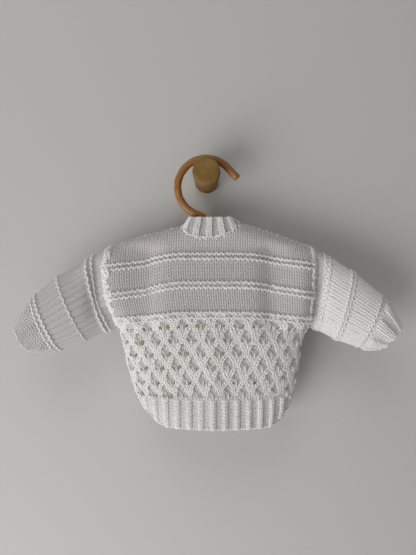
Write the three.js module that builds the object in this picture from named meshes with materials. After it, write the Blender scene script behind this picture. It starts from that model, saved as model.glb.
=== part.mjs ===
// A newborn's hand-knitted cardigan, hung by a ring hook on a round wall knob, back to the viewer.
// Millimetres, +Z up, +X to the viewer's right, +Y into the wall.
// The origin is the centre of the knob's flat end, where it meets the wall.
import * as THREE from 'three';

// Driving dimensions.
const HANG_Y = -30; // plane of the hook, the bar, the shoulder line and the side seams
const WALL = 1.6; // thickness of the knitted cloth between ridges
const RIDGE = 1.3; // height of a garter ridge over the cloth
const RIB = 1.2; // height of a rib over the cloth
const SEAM = 0.3; // gap between pieces at a seam
const HEM_Z = -265.5;
const UNDERARM_Z = -163;
const ARMHOLE_MID_Z = -121; // the armhole is widest here
const SEAM_TOP_Z = -79; // where the armhole meets the shoulder line
const SEAM_DEPTH = 13.5; // from the hang plane to the back's face, at the armholes
const ROUNDNESS = { body: 5, yoke: 9 }; // power of the section's curve: flat between round sides
const SIDE_SEAM = { z: -185, reach: 80, hemTurn: 1.24 }; // where the side seams start to move back
const FRONT_SHARE = 0.8; // the fronts bulge less than the back
const SHOULDER_ROUND = 16; // height over which the shoulder closes on the bar
const NECK = { left: -27, right: 35, leftZ: -56, rightZ: -51.5, backDip: 15, frontDip: 23, curve: 0.62 };
const NECKBAND_TOP_Z = -46.4;
const NECKBAND_HEIGHT = 16;
const NECKBAND_LEAN = { side: 0.66, back: 0.74 }; // width of its top over its foot
const NECKBAND_SEAM = 0.4;
const COARSE = 23; // columns of the back above the lace
const FRONT_COARSE = 10; // columns of one front above the lace
const FRONT_NECK_COLUMNS = 3;
const NECK_COLUMNS = 7;
const EYELET = 4.4; // height of an eyelet
const REPEAT = 4; // columns of one repeat of the lace or of the ribs
// Shares of a column by which the lines beside a decrease and its eyelets shift.
const EYELET_SHIFTS = [0.15, -0.15, -0.2, 0.2];
// Edges of the front bands from the middle, and the rise of the upper one over the lower one.
const BAND = { under: -13, over: 15, lap: 11, middle: -2, step: 11.4, lift: 2.1 };
const BUTTON = { radius: 6, thick: 2.4, count: 5, topZ: -92, step: 38, gap: 0.5 };
const SLEEVE_COLUMNS = 16;
const SLEEVE_SEAM = 0.45; // gap at the armhole
const KNOB_REST_RADIUS = 14.2; // where the ring hangs
const ROD = 4; // radius of the hook's rod
const RING = 31; // radius of the ring's centre line
const RING_Z = KNOB_REST_RADIUS + SEAM + ROD - RING;
const BAR = 4.5; // radius of the bar
const BAR_ENDS = { left: -101, right: 107 };
const BAR_GAP = { shoulder: 0.7, neck: 2.6, over: 14 }; // the bar hangs lower across the neck

// Edges of the body seen from behind: the armhole seams down to the underarm, then the sides.
const BODY_EDGES = [
  { z: -79, left: -107.5, right: 114 },
  { z: -92, left: -108.6, right: 114.5 },
  { z: -104, left: -109, right: 114.2 },
  { z: -116, left: -108, right: 113.5 },
  { z: -128, left: -105.8, right: 112.4 },
  { z: -140, left: -102.4, right: 111.2 },
  { z: -152, left: -97.6, right: 110 },
  { z: -163, left: -93.8, right: 107.4 },
  { z: -175, left: -90, right: 102.5 },
  { z: -187, left: -87.8, right: 100.4 },
  { z: -200, left: -84.6, right: 98.8 },
  { z: -216, left: -80.8, right: 96.2 },
  { z: -233, left: -75, right: 93.2 },
  { z: -248, left: -66.3, right: 87.2 },
  { z: -258, left: -58.5, right: 81 },
  { z: HEM_Z, left: -49.5, right: 73.5 },
];

// Depth of the back's face by height. The yoke leans out and the rest hangs straight.
const DEPTHS = [
  { z: -79, depth: 13.5 },
  { z: -95, depth: 17 },
  { z: -110, depth: 20 },
  { z: -125, depth: 22.4 },
  { z: -140, depth: 24.2 },
  { z: -155, depth: 25.4 },
  { z: -172, depth: 26.3 },
  { z: -200, depth: 26.8 },
  { z: -236, depth: 26.8 },
  { z: HEM_Z, depth: 26 },
];

// The shoulder line, carried over the neck where the cloth is open.
const SHOULDERS = [
  { x: -108, z: -79 },
  { x: -93, z: -74.4 },
  { x: -70.6, z: -66.9 },
  { x: -48.3, z: -60.9 },
  { x: -27, z: -56 },
  { x: 4, z: -44 },
  { x: 35, z: -51.5 },
  { x: 56.6, z: -58.7 },
  { x: 83.5, z: -67.6 },
  { x: 110.4, z: -77.2 },
  { x: 114, z: -79 },
];

// Knitted rows of the yoke. The ends of a row hang lower than its middle by left and right.
const YOKE_ROWS = [
  { z: -83.5, left: 12.5, right: 11, raise: 0 },
  { z: -85.3, left: 12.5, right: 11, raise: 1 },
  { z: -87.9, left: 12.5, right: 11, raise: 0.2 },
  { z: -90.5, left: 12.5, right: 11, raise: 1 },
  { z: -92.3, left: 12.5, right: 11, raise: 0 },
  { z: -102.8, left: 12.5, right: 11, raise: 0 },
  { z: -113.2, left: 12.5, right: 11, raise: 0 },
  { z: -115, left: 12.5, right: 11, raise: 1 },
  { z: -117.6, left: 12.5, right: 11, raise: 0.2 },
  { z: -120.2, left: 12.5, right: 11, raise: 1 },
  { z: -122, left: 12.5, right: 11, raise: 0 },
  { z: -133.4, left: 10, right: 9, raise: 0 },
  { z: -144, left: 6.2, right: 6.2, raise: 0 },
  { z: -145.8, left: 6.2, right: 6.2, raise: 1 },
  { z: -148.4, left: 6.2, right: 6.2, raise: 0.2 },
  { z: -151, left: 6.2, right: 6.2, raise: 1 },
  { z: -152.8, left: 6.2, right: 6.2, raise: 0 },
];

// How a row sags from its middle to its ends, as a share of the drop at that end.
const SAG = [
  { off: 0, left: 0, right: 0 },
  { off: 0.3, left: 0.01, right: 0 },
  { off: 0.42, left: 0.16, right: 0.08 },
  { off: 0.5, left: 0.31, right: 0.2 },
  { off: 0.6, left: 0.6, right: 0.38 },
  { off: 0.7, left: 0.72, right: 0.55 },
  { off: 0.82, left: 0.84, right: 0.72 },
  { off: 0.92, left: 0.94, right: 0.89 },
  { off: 1, left: 1, right: 1 },
];

// Share of the way from the first yoke row to the top edge.
const TOP_ROWS = [{ up: 1 }, { up: 0.9 }, { up: 0.68 }, { up: 0.36 }];

// Rows of eyelets, by the height of their centres. The pairs step over by half a repeat each time.
const EYELET_ROWS = [
  { z: -160, droop: 5.2, phase: 4 },
  { z: -174.3, droop: 4.4, phase: 2 },
  { z: -187.7, droop: 3.8, phase: 4 },
  { z: -201.9, droop: 3, phase: 2 },
  { z: -216.3, droop: 2.2, phase: 4 },
  { z: -229.3, droop: 1.2, phase: 2 },
];

const WELT_ROWS = [
  { z: -236, droop: 0.5, raise: 0.5 },
  { z: -248, droop: 0, raise: 1 },
  { z: -258, droop: 0, raise: 1 },
  { z: HEM_Z, droop: 0, raise: 1 },
];

// Soft folds of the back. A rise is towards the viewer.
const FOLDS = [
  { x: -117, reach: 7, rise: -3.5, top: -84, foot: -160 },
  { x: -101, reach: 12, rise: 1.2, top: -80, foot: -168 },
  { x: -63, reach: 15, rise: -4.6, top: -70, foot: -178 },
  { x: 67.5, reach: 14, rise: -4.6, top: -70, foot: -178 },
  { x: 101, reach: 9, rise: 2, top: -84, foot: -170 },
  { x: 118, reach: 6.5, rise: -5, top: -82, foot: -160 },
  { x: 7, reach: 16, rise: 2.4, top: -156, foot: -300 },
];

// Sleeve sections from the armhole to the cuff's end: top and bottom of the outline, half depth,
// and how far the sleeve swings out from the hang plane.
const SLEEVES = {
  left: [
    { at: 0, topX: -107.5, topZ: -79, footX: -93.8, footZ: -163, depth: 13.5, swing: 0 },
    { at: 0.2, topX: -132.2, topZ: -94.7, footX: -111.1, footZ: -168.5, depth: 15, swing: 3.5 },
    { at: 0.45, topX: -160.6, topZ: -110.5, footX: -128.5, footZ: -177.2, depth: 16, swing: 8.5 },
    { at: 0.7, topX: -182.2, topZ: -131, footX: -156.8, footZ: -187, depth: 16, swing: 11.5 },
    { at: 0.83, topX: -191, topZ: -146, footX: -171.1, footZ: -187.8, depth: 13.5, swing: 12.5 },
    { at: 1, topX: -199.7, topZ: -162.8, footX: -185.2, footZ: -186.5, depth: 10.5, swing: 13 },
  ],
  right: [
    { at: 0, topX: 114, topZ: -79, footX: 107.4, footZ: -163, depth: 13.5, swing: 0 },
    { at: 0.2, topX: 135.5, topZ: -90.2, footX: 121.1, footZ: -167.5, depth: 15, swing: 3.5 },
    { at: 0.45, topX: 157, topZ: -105.1, footX: 137.9, footZ: -176.2, depth: 16, swing: 8.5 },
    { at: 0.7, topX: 185, topZ: -129, footX: 159.4, footZ: -183.3, depth: 16, swing: 11.5 },
    { at: 0.83, topX: 193.5, topZ: -144, footX: 171.2, footZ: -183.9, depth: 13.5, swing: 12.5 },
    { at: 1, topX: 202.4, topZ: -161.1, footX: 182.3, footZ: -182.8, depth: 10.5, swing: 13 },
  ],
};

// Stations along a sleeve. Ridges are rows of the knitting, ribs are the cuff's.
const SLEEVE_ROWS = [
  { at: 0, ridge: 0, rib: 0 },
  { at: 0.05, ridge: 0, rib: 0 },
  { at: 0.085, ridge: 0, rib: 0 },
  { at: 0.103, ridge: 0.9, rib: 0 },
  { at: 0.128, ridge: 0.1, rib: 0 },
  { at: 0.153, ridge: 0.9, rib: 0 },
  { at: 0.172, ridge: 0, rib: 0 },
  { at: 0.25, ridge: 0, rib: 0 },
  { at: 0.33, ridge: 0, rib: 0 },
  { at: 0.39, ridge: 0, rib: 0 },
  { at: 0.407, ridge: 0.5, rib: 0 },
  { at: 0.425, ridge: 0.1, rib: 0 },
  { at: 0.443, ridge: 0.5, rib: 0 },
  { at: 0.46, ridge: 0, rib: 0 },
  { at: 0.56, ridge: 0, rib: 0 },
  { at: 0.66, ridge: 0, rib: 0 },
  { at: 0.68, ridge: 0.6, rib: 0 },
  { at: 0.7, ridge: 0.1, rib: 0 },
  { at: 0.78, ridge: 0, rib: 1 },
  { at: 0.88, ridge: 0, rib: 1 },
  { at: 1, ridge: 0, rib: 1 },
];

const BLEND = 0.33; // share of a sleeve over which its section leaves the armhole's curve
const TOP_BLEND = 1.6; // how soon the columns leave their places on the top edge
const RIDGE_FADE = 1 / 12; // share of a row over which its ridge dies out at each end
const FOLD_EASE = { top: 14, foot: 22 }; // height over which a fold begins and ends

// Colours.
const WOOL = 0xe2e0de;
const WOOL_SIDE = 0xd8d6d3;
const CANE = 0x8a6237;
const BRASS = 0x80633c;
const SHELL = 0xe8e4dc;

const clamp = (v, low, high) => Math.min(high, Math.max(low, v));
const mix = (a, b, t) => a + (b - a) * t;
const smooth = (t) => {
  const k = clamp(t, 0, 1);
  return k * k * (3 - 2 * k);
};

// Value of a column of a table at a key, between its rows.
function read(table, key, at, column) {
  const rising = table[table.length - 1][key] > table[0][key];
  let i = 0;
  while (i < table.length - 2 && (rising ? table[i + 1][key] < at : table[i + 1][key] > at)) {
    i += 1;
  }
  const a = table[i];
  const b = table[i + 1];
  const t = clamp((at - a[key]) / (b[key] - a[key]), 0, 1);
  return mix(a[column], b[column], t);
}

const shoulderZ = (x) => read(SHOULDERS, 'x', x, 'z');
const edgeX = (side, z) => read(BODY_EDGES, 'z', z, side);
const depthAt = (z) => read(DEPTHS, 'z', z, 'depth');

// How open the armhole is at a height: none at the underarm, full from the middle up.
function armhole(z) {
  if (z >= ARMHOLE_MID_Z) {
    return 1;
  }
  const k = (ARMHOLE_MID_Z - z) / (ARMHOLE_MID_Z - UNDERARM_Z);
  return Math.sqrt(Math.max(0, 1 - k * k));
}

// How far the cloth has opened below the shoulder line.
function closing(x, z) {
  const q = clamp((shoulderZ(x) - z) / SHOULDER_ROUND, 0, 1);
  return Math.sqrt(1 - (1 - q) * (1 - q));
}

function fold(x, z) {
  let sum = 0;
  for (const f of FOLDS) {
    const across = Math.exp(-(((x - f.x) / f.reach) ** 2));
    const along = smooth((f.top - z) / FOLD_EASE.top) * smooth((z - f.foot) / FOLD_EASE.foot);
    sum += f.rise * across * along;
  }
  return sum;
}

// Side seams move a little behind the sides towards the hem.
const sideTurn = (z) => {
  const down = smooth((SIDE_SEAM.z - z) / SIDE_SEAM.reach);
  return mix(Math.PI / 2, SIDE_SEAM.hemTurn, down);
};

// A point of the body. Turn is the angle round the section: 0 at the middle, a quarter turn at the side.
function bodyPoint(face, turn, row) {
  const s = Math.sin(turn);
  const side = s < 0 ? 'left' : 'right';
  const base = row.z - row[side] * read(SAG, 'off', Math.abs(s), side);
  const middle = (row.leftX + row.rightX) / 2;
  const half = (row.rightX - row.leftX) / 2;
  const x = middle + half * s;
  let z = base;
  if (row.up > 0) {
    z = mix(base, face === 'back' ? backTop(x) : frontTop(x), row.up);
  }
  const open = (armhole(z) * SEAM_DEPTH) / depthAt(z);
  const bend = Math.abs(s) ** mix(ROUNDNESS.body, ROUNDNESS.yoke, armhole(z));
  const behind = Math.abs(turn) > Math.PI / 2;
  const share = face === 'back' || behind ? 1 : FRONT_SHARE;
  const full = depthAt(z) * share;
  let d = full * closing(x, z) * Math.sqrt(Math.max(0, 1 - (1 - open * open) * bend));
  if (behind) {
    d = full * Math.cos(turn);
  }
  if (face === 'back') {
    d += fold(x, z) * clamp(d / full, 0, 1);
  }
  const way = face === 'back' ? -1 : 1;
  return new THREE.Vector3(x, HANG_Y + way * (SEAM / 2 + d), z);
}

// Top edges: the shoulder line with the neck's curve between its corners.
function neckZ(x, dip) {
  const s = clamp((2 * x - NECK.left - NECK.right) / (NECK.right - NECK.left), -1, 1);
  const line = mix(NECK.leftZ, NECK.rightZ, (s + 1) / 2);
  return line - dip * (1 - s * s) ** NECK.curve;
}

const inNeck = (x) => x > NECK.left - 0.01 && x < NECK.right + 0.01;
const backTop = (x) => (inNeck(x) ? neckZ(x, NECK.backDip) : shoulderZ(x));
const frontTop = (x) => (inNeck(x) ? neckZ(x, NECK.frontDip) : shoulderZ(x));

// Fills in where a row's ends lie.
function finishRow(row) {
  const first = YOKE_ROWS[0];
  const leftEnd = row.up > 0 ? mix(first.z - first.left, SEAM_TOP_Z, row.up) : row.z - row.left;
  const rightEnd = row.up > 0 ? mix(first.z - first.right, SEAM_TOP_Z, row.up) : row.z - row.right;
  return { ...row, leftX: edgeX('left', leftEnd), rightX: edgeX('right', rightEnd) };
}

const coarseRows = [
  ...TOP_ROWS.map((r) => ({ ...YOKE_ROWS[0], up: r.up, raise: 0 })),
  ...YOKE_ROWS.map((r) => ({ ...r, up: 0 })),
].map(finishRow);

// The lace has a row above and below each eyelet row; ribs begin at the welt.
const fineRows = [];
for (let i = 0; i < EYELET_ROWS.length; i += 1) {
  const row = EYELET_ROWS[i];
  const common = { left: row.droop, right: row.droop, up: 0, rib: 0 };
  fineRows.push({ ...common, z: row.z + EYELET / 2, phase: row.phase, shift: row.phase });
  fineRows.push({ ...common, z: row.z - EYELET / 2, shift: row.phase });
}
for (const row of WELT_ROWS) {
  fineRows.push({ z: row.z, left: row.droop, right: row.droop, up: 0, rib: row.raise });
}
const laceRows = fineRows.map(finishRow);

// Turns of a row's columns, spaced evenly along the cloth.
function spread(face, row, from, to, count) {
  const steps = 160;
  const turns = [];
  const lengths = [];
  let last = null;
  let sum = 0;
  for (let i = 0; i <= steps; i += 1) {
    const turn = mix(from, to, i / steps);
    const p = bodyPoint(face, turn, row);
    if (last) {
      sum += Math.hypot(p.x - last.x, p.y - last.y);
    }
    turns.push(turn);
    lengths.push(sum);
    last = p;
  }
  const out = [];
  let k = 0;
  for (let j = 0; j <= count; j += 1) {
    const want = (sum * j) / count;
    while (k < steps - 1 && lengths[k + 1] < want) {
      k += 1;
    }
    const gap = lengths[k + 1] - lengths[k];
    const t = gap > 0 ? clamp((want - lengths[k]) / gap, 0, 1) : 0;
    out.push(mix(turns[k], turns[k + 1], t));
  }
  return out;
}

const turnOf = (row, x) => {
  const middle = (row.leftX + row.rightX) / 2;
  const half = (row.rightX - row.leftX) / 2;
  return Math.asin(clamp((x - middle) / half, -1, 1));
};

// Places along the neck's curve between two shares of its half width, closer near the corners.
function neckX(from, to, t) {
  const middle = (NECK.left + NECK.right) / 2;
  const half = (NECK.right - NECK.left) / 2;
  return middle + half * Math.cos(mix(Math.acos(from), Math.acos(to), t));
}

// Places of the columns along the top edge of the back, with vertices at the neck's corners.
function backTopXs(row) {
  const side = (COARSE - NECK_COLUMNS) / 2;
  const xs = [];
  for (let j = 0; j <= COARSE; j += 1) {
    if (j <= side) {
      xs.push(mix(row.leftX, NECK.left, j / side));
    } else if (j <= side + NECK_COLUMNS) {
      xs.push(neckX(-1, 1, (j - side) / NECK_COLUMNS));
    } else {
      xs.push(mix(NECK.right, row.rightX, (j - side - NECK_COLUMNS) / side));
    }
  }
  return xs;
}

// Columns move over to their places on the top edge within the last rows.
const towardsTop = (row) => smooth(row.up * TOP_BLEND);

// Turns of all columns of a row of the back or of one front.
function columnsOf(piece, row, count) {
  const endTurn = sideTurn(row.z);
  const middle = (row.leftX + row.rightX) / 2;
  if (piece === 'back') {
    const even = spread('back', row, -endTurn, endTurn, count);
    if (row.up === 0) {
      return even;
    }
    const xs = backTopXs(row);
    return even.map((turn, j) => mix(turn, turnOf(row, xs[j]), towardsTop(row)));
  }
  const sign = piece === 'right_front' ? 1 : -1;
  const bandX = sign > 0 ? BAND.over + SEAM : BAND.under - SEAM;
  const start = turnOf(row, middle + bandX);
  const even = spread('front', row, start, sign * (Math.PI - endTurn), count);
  if (row.up === 0) {
    return even;
  }
  const corner = sign > 0 ? NECK.right : NECK.left;
  const end = sign > 0 ? row.rightX : row.leftX;
  const neckMiddle = (NECK.left + NECK.right) / 2;
  const neckStart = clamp((middle + bandX - neckMiddle) / Math.abs(corner - neckMiddle), -1, 1);
  return even.map((turn, j) => {
    const k = FRONT_NECK_COLUMNS;
    const x = j <= k ? neckX(neckStart, sign, j / k) : mix(corner, end, (j - k) / (count - k));
    return mix(turn, turnOf(row, x), towardsTop(row));
  });
}

// Collects outer points, inner points and faces, and closes the wall along every free edge.
class Sheet {
  constructor() {
    this.base = [];
    this.raise = [];
    this.inward = [];
    this.faces = [];
  }

  add(point, raise, inward) {
    this.base.push(point);
    this.raise.push(raise);
    this.inward.push(inward);
    return this.base.length - 1;
  }

  quad(a, b, c, d) {
    this.faces.push([a, b, c], [a, c, d]);
  }

  // Normals of the unraised outer face.
  normals() {
    const sums = this.base.map(() => new THREE.Vector3());
    for (const [a, b, c] of this.faces) {
      const u = this.base[b].clone().sub(this.base[a]);
      const v = this.base[c].clone().sub(this.base[a]);
      const n = u.cross(v);
      sums[a].add(n);
      sums[b].add(n);
      sums[c].add(n);
    }
    return sums.map((n) => n.normalize());
  }

  mesh(name, colour, skip = []) {
    const normals = this.normals();
    const count = this.base.length;
    const points = [];
    this.base.forEach((p, i) => {
      const out = this.inward[i] ? this.inward[i].clone().negate() : normals[i];
      points.push(p.clone().addScaledVector(out, this.raise[i]));
    });
    this.base.forEach((p, i) => {
      const into = this.inward[i] ? this.inward[i] : normals[i].clone().negate();
      points.push(p.clone().addScaledVector(into, WALL));
    });
    const faces = this.faces.filter((f, i) => !skip.includes(i));
    const edges = new Set();
    for (const [a, b, c] of faces) {
      edges.add(`${a},${b}`).add(`${b},${c}`).add(`${c},${a}`);
    }
    const all = [];
    for (const [a, b, c] of faces) {
      all.push([a, b, c], [a + count, c + count, b + count]);
      for (const [p, q] of [[a, b], [b, c], [c, a]]) {
        if (!edges.has(`${q},${p}`)) {
          all.push([q, p, p + count], [q, p + count, q + count]);
        }
      }
    }
    return solid(name, points, all, colour, 0.95, 0);
  }
}

function solid(name, points, faces, colour, roughness, metalness) {
  const flat = new Float32Array(faces.length * 9);
  let i = 0;
  for (const face of faces) {
    for (const index of face) {
      points[index].toArray(flat, i);
      i += 3;
    }
  }
  const geometry = new THREE.BufferGeometry();
  geometry.setAttribute('position', new THREE.BufferAttribute(flat, 3));
  geometry.computeVertexNormals();
  const material = new THREE.MeshStandardMaterial({ color: colour, roughness, metalness });
  const mesh = new THREE.Mesh(geometry, material);
  mesh.name = name;
  return mesh;
}

// Inward direction at the armhole seam, across the wall of the tube that the sleeve begins with.
function seamInward(face, z) {
  const half = (SEAM_TOP_Z - UNDERARM_Z) / 2;
  const up = (z - (SEAM_TOP_Z + UNDERARM_Z) / 2) / half;
  const out = Math.sqrt(Math.max(0, 1 - up * up));
  const way = face === 'back' ? 1 : -1;
  return new THREE.Vector3(0, (way * out) / SEAM_DEPTH, -up / half).normalize();
}

// Inward direction on the neck's edge, level and towards the neck's middle.
function neckInward(point) {
  const halfX = (NECK.right - NECK.left) / 2;
  const x = (point.x - (NECK.left + NECK.right) / 2) / (halfX * halfX);
  const y = (point.y - HANG_Y) / (SEAM_DEPTH * SEAM_DEPTH);
  return new THREE.Vector3(-x, -y, 0).normalize();
}

// Direction across the wall at the ends of a body row or along its top edge.
function edgeInward(face, row, turn, point, atEnd) {
  if (row.up === 1) {
    if (inNeck(point.x)) {
      return neckInward(point);
    }
    return atEnd ? seamInward(face, SEAM_TOP_Z) : new THREE.Vector3(0, 0, -1);
  }
  if (!atEnd) {
    return null;
  }
  if (point.z > UNDERARM_Z + 0.5) {
    return seamInward(face, point.z);
  }
  if (point.z > UNDERARM_Z - 0.5) {
    return new THREE.Vector3(-Math.sign(turn), 0, 1).normalize();
  }
  const half = (row.rightX - row.leftX) / 2;
  const depth = depthAt(row.z);
  const side = face === 'back' ? 1 : -1;
  return new THREE.Vector3(-Math.sin(turn) / half, (side * Math.cos(turn)) / depth, 0).normalize();
}

// Place of a column in its repeat.
const inRepeat = (column, start) => (((column - start) % REPEAT) + REPEAT) % REPEAT;

// One panel of the body: coarse rows above, fine rows with eyelets and ribs below.
function panel(name, coarse) {
  const face = name === 'back' ? 'back' : 'front';
  const sheet = new Sheet();
  const fine = coarse * 2;
  const grids = [];
  const addRow = (row, count) => {
    const turns = columnsOf(name, row, count);
    return turns.map((even, j) => {
      let turn = even;
      if (row.shift !== undefined && j > 0 && j < count) {
        turn += (EYELET_SHIFTS[inRepeat(j, row.shift)] * (turns[j + 1] - turns[j - 1])) / 2;
      }
      const p = bodyPoint(face, turn, row);
      const outer = j === count || (name === 'back' && j === 0);
      const inward = edgeInward(face, row, turn, p, outer);
      const edgeFade = smooth(Math.min(j, count - j) / count / RIDGE_FADE);
      let raise = (row.raise || 0) * RIDGE * edgeFade;
      if (row.rib) {
        const crest = inRepeat(j, 1) < 2 && j > 0 && j < count;
        raise = crest ? row.rib * RIB : 0;
      }
      return sheet.add(p, raise, inward);
    });
  };
  for (const row of coarseRows) {
    grids.push(addRow(row, coarse));
  }
  for (const row of laceRows) {
    grids.push(addRow(row, fine));
  }
  // Rows run down and columns run to the right for the back and the right front, so the
  // faces of those two turn one way and the left front's turn the other.
  const flip = name === 'right_front';
  const tri = (a, b, c) => sheet.faces.push(flip ? [a, c, b] : [a, b, c]);
  const skip = [];
  for (let i = 0; i < grids.length - 1; i += 1) {
    const upper = grids[i];
    const lower = grids[i + 1];
    const row = i >= coarseRows.length ? laceRows[i - coarseRows.length] : null;
    if (upper.length !== lower.length) {
      for (let j = 0; j < coarse; j += 1) {
        tri(upper[j], lower[2 * j], lower[2 * j + 1]);
        tri(upper[j], lower[2 * j + 1], upper[j + 1]);
        tri(upper[j + 1], lower[2 * j + 1], lower[2 * j + 2]);
      }
    } else {
      for (let j = 0; j < upper.length - 1; j += 1) {
        const hole = row && row.phase !== undefined && inRepeat(j, row.phase) % 2 === 1;
        const inside = j > 0 && j < upper.length - 2;
        if (hole && inside) {
          skip.push(sheet.faces.length, sheet.faces.length + 1);
        }
        tri(upper[j], lower[j], lower[j + 1]);
        tri(upper[j], lower[j + 1], upper[j + 1]);
      }
    }
  }
  return { mesh: sheet.mesh(name, WOOL, skip), sheet, top: grids[0] };
}

// A sleeve: a closed tube from the armhole's own curve to the cuff's open end.
function sleeve(name, side) {
  const table = SLEEVES[side];
  const out = side === 'left' ? -1 : 1;
  const sheet = new Sheet();
  const rings = [];
  const mid = (SEAM_TOP_Z + UNDERARM_Z) / 2;
  const half = (SEAM_TOP_Z - UNDERARM_Z) / 2;
  for (const row of SLEEVE_ROWS) {
    const get = (column) => read(table, 'at', row.at, column);
    const top = new THREE.Vector3(get('topX'), HANG_Y, get('topZ'));
    const foot = new THREE.Vector3(get('footX'), HANG_Y, get('footZ'));
    const centre = top.clone().add(foot).multiplyScalar(0.5);
    const reach = top.clone().sub(centre);
    const left = smooth(row.at / BLEND);
    const ring = [];
    for (let k = 0; k < SLEEVE_COLUMNS; k += 1) {
      const angle = (2 * Math.PI * k) / SLEEVE_COLUMNS;
      const back = Math.sin(angle) >= 0;
      const share = back ? 1 : FRONT_SHARE;
      const p = centre.clone().addScaledVector(reach, Math.cos(angle));
      p.y -= get('swing') + get('depth') * share * Math.sin(angle);
      // The armhole's curve at this height of its seam.
      const z = mid + half * Math.cos(angle);
      const seam = new THREE.Vector3(edgeX(side, z), 0, z);
      const open = SEAM_DEPTH * share * armhole(z) * closing(seam.x, z);
      seam.y = HANG_Y - Math.sign(Math.sin(angle)) * open;
      const first = table[0];
      const straight = new THREE.Vector3(
        mix(first.footX, first.topX, (1 + Math.cos(angle)) / 2),
        HANG_Y - first.depth * share * Math.sin(angle),
        z,
      );
      p.addScaledVector(seam.clone().sub(straight), 1 - left);
      p.x += out * SLEEVE_SEAM * (1 - left);
      if (back) {
        p.y -= fold(p.x, p.z) * Math.abs(Math.sin(angle));
      }
      const inward = row.at === 0 ? seamInward(back ? 'back' : 'front', z) : null;
      const crest = k % 2 === 0;
      const raise = row.ridge * RIDGE + (crest ? row.rib * RIB : 0);
      ring.push(sheet.add(p, raise, inward));
    }
    rings.push(ring);
  }
  for (let i = 0; i < rings.length - 1; i += 1) {
    for (let k = 0; k < SLEEVE_COLUMNS; k += 1) {
      const n = (k + 1) % SLEEVE_COLUMNS;
      if (side === 'left') {
        sheet.quad(rings[i][k], rings[i + 1][k], rings[i + 1][n], rings[i][n]);
      } else {
        sheet.quad(rings[i][k], rings[i][n], rings[i + 1][n], rings[i + 1][k]);
      }
    }
  }
  return sheet.mesh(name, WOOL_SIDE);
}

// A front band: a strip down the middle. The upper one rises over the lower one's width.
function band(name, over) {
  const sheet = new Sheet();
  const rows = [...coarseRows.filter((r) => r.up === 1), ...coarseRows.filter((r) => r.up === 0)];
  const kept = rows.filter((r, i) => i === 0 || r.raise === 0);
  const all = [...kept, ...laceRows.filter((r, i) => i % 3 === 2 || i >= laceRows.length - 2)];
  const from = over ? -BAND.lap : BAND.under;
  const to = over ? BAND.over : BAND.lap;
  const columns = 3;
  const overOffsets = [from, BAND.middle, BAND.step, to];
  const grid = all.map((row) => {
    const middle = (row.leftX + row.rightX) / 2;
    const line = [];
    for (let j = 0; j <= columns; j += 1) {
      const offset = over ? overOffsets[j] : mix(from, to, j / columns);
      const p = bodyPoint('front', turnOf(row, middle + offset), row);
      const lift = over ? BAND.lift * (j === columns ? 0 : 1) : 0;
      p.y += lift;
      const inward = row.up === 1 ? neckInward(p) : null;
      line.push(sheet.add(p, 0, inward));
    }
    return line;
  });
  for (let i = 0; i < grid.length - 1; i += 1) {
    for (let j = 0; j < columns; j += 1) {
      sheet.quad(grid[i][j], grid[i][j + 1], grid[i + 1][j + 1], grid[i + 1][j]);
    }
  }
  return { mesh: sheet.mesh(name, WOOL), sheet, top: grid[0] };
}

const back = panel('back', COARSE);
const leftFront = panel('left_front', FRONT_COARSE);
const rightFront = panel('right_front', FRONT_COARSE);
const underBand = band('button_band', false);
const overBand = band('buttonhole_band', true);

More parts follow.
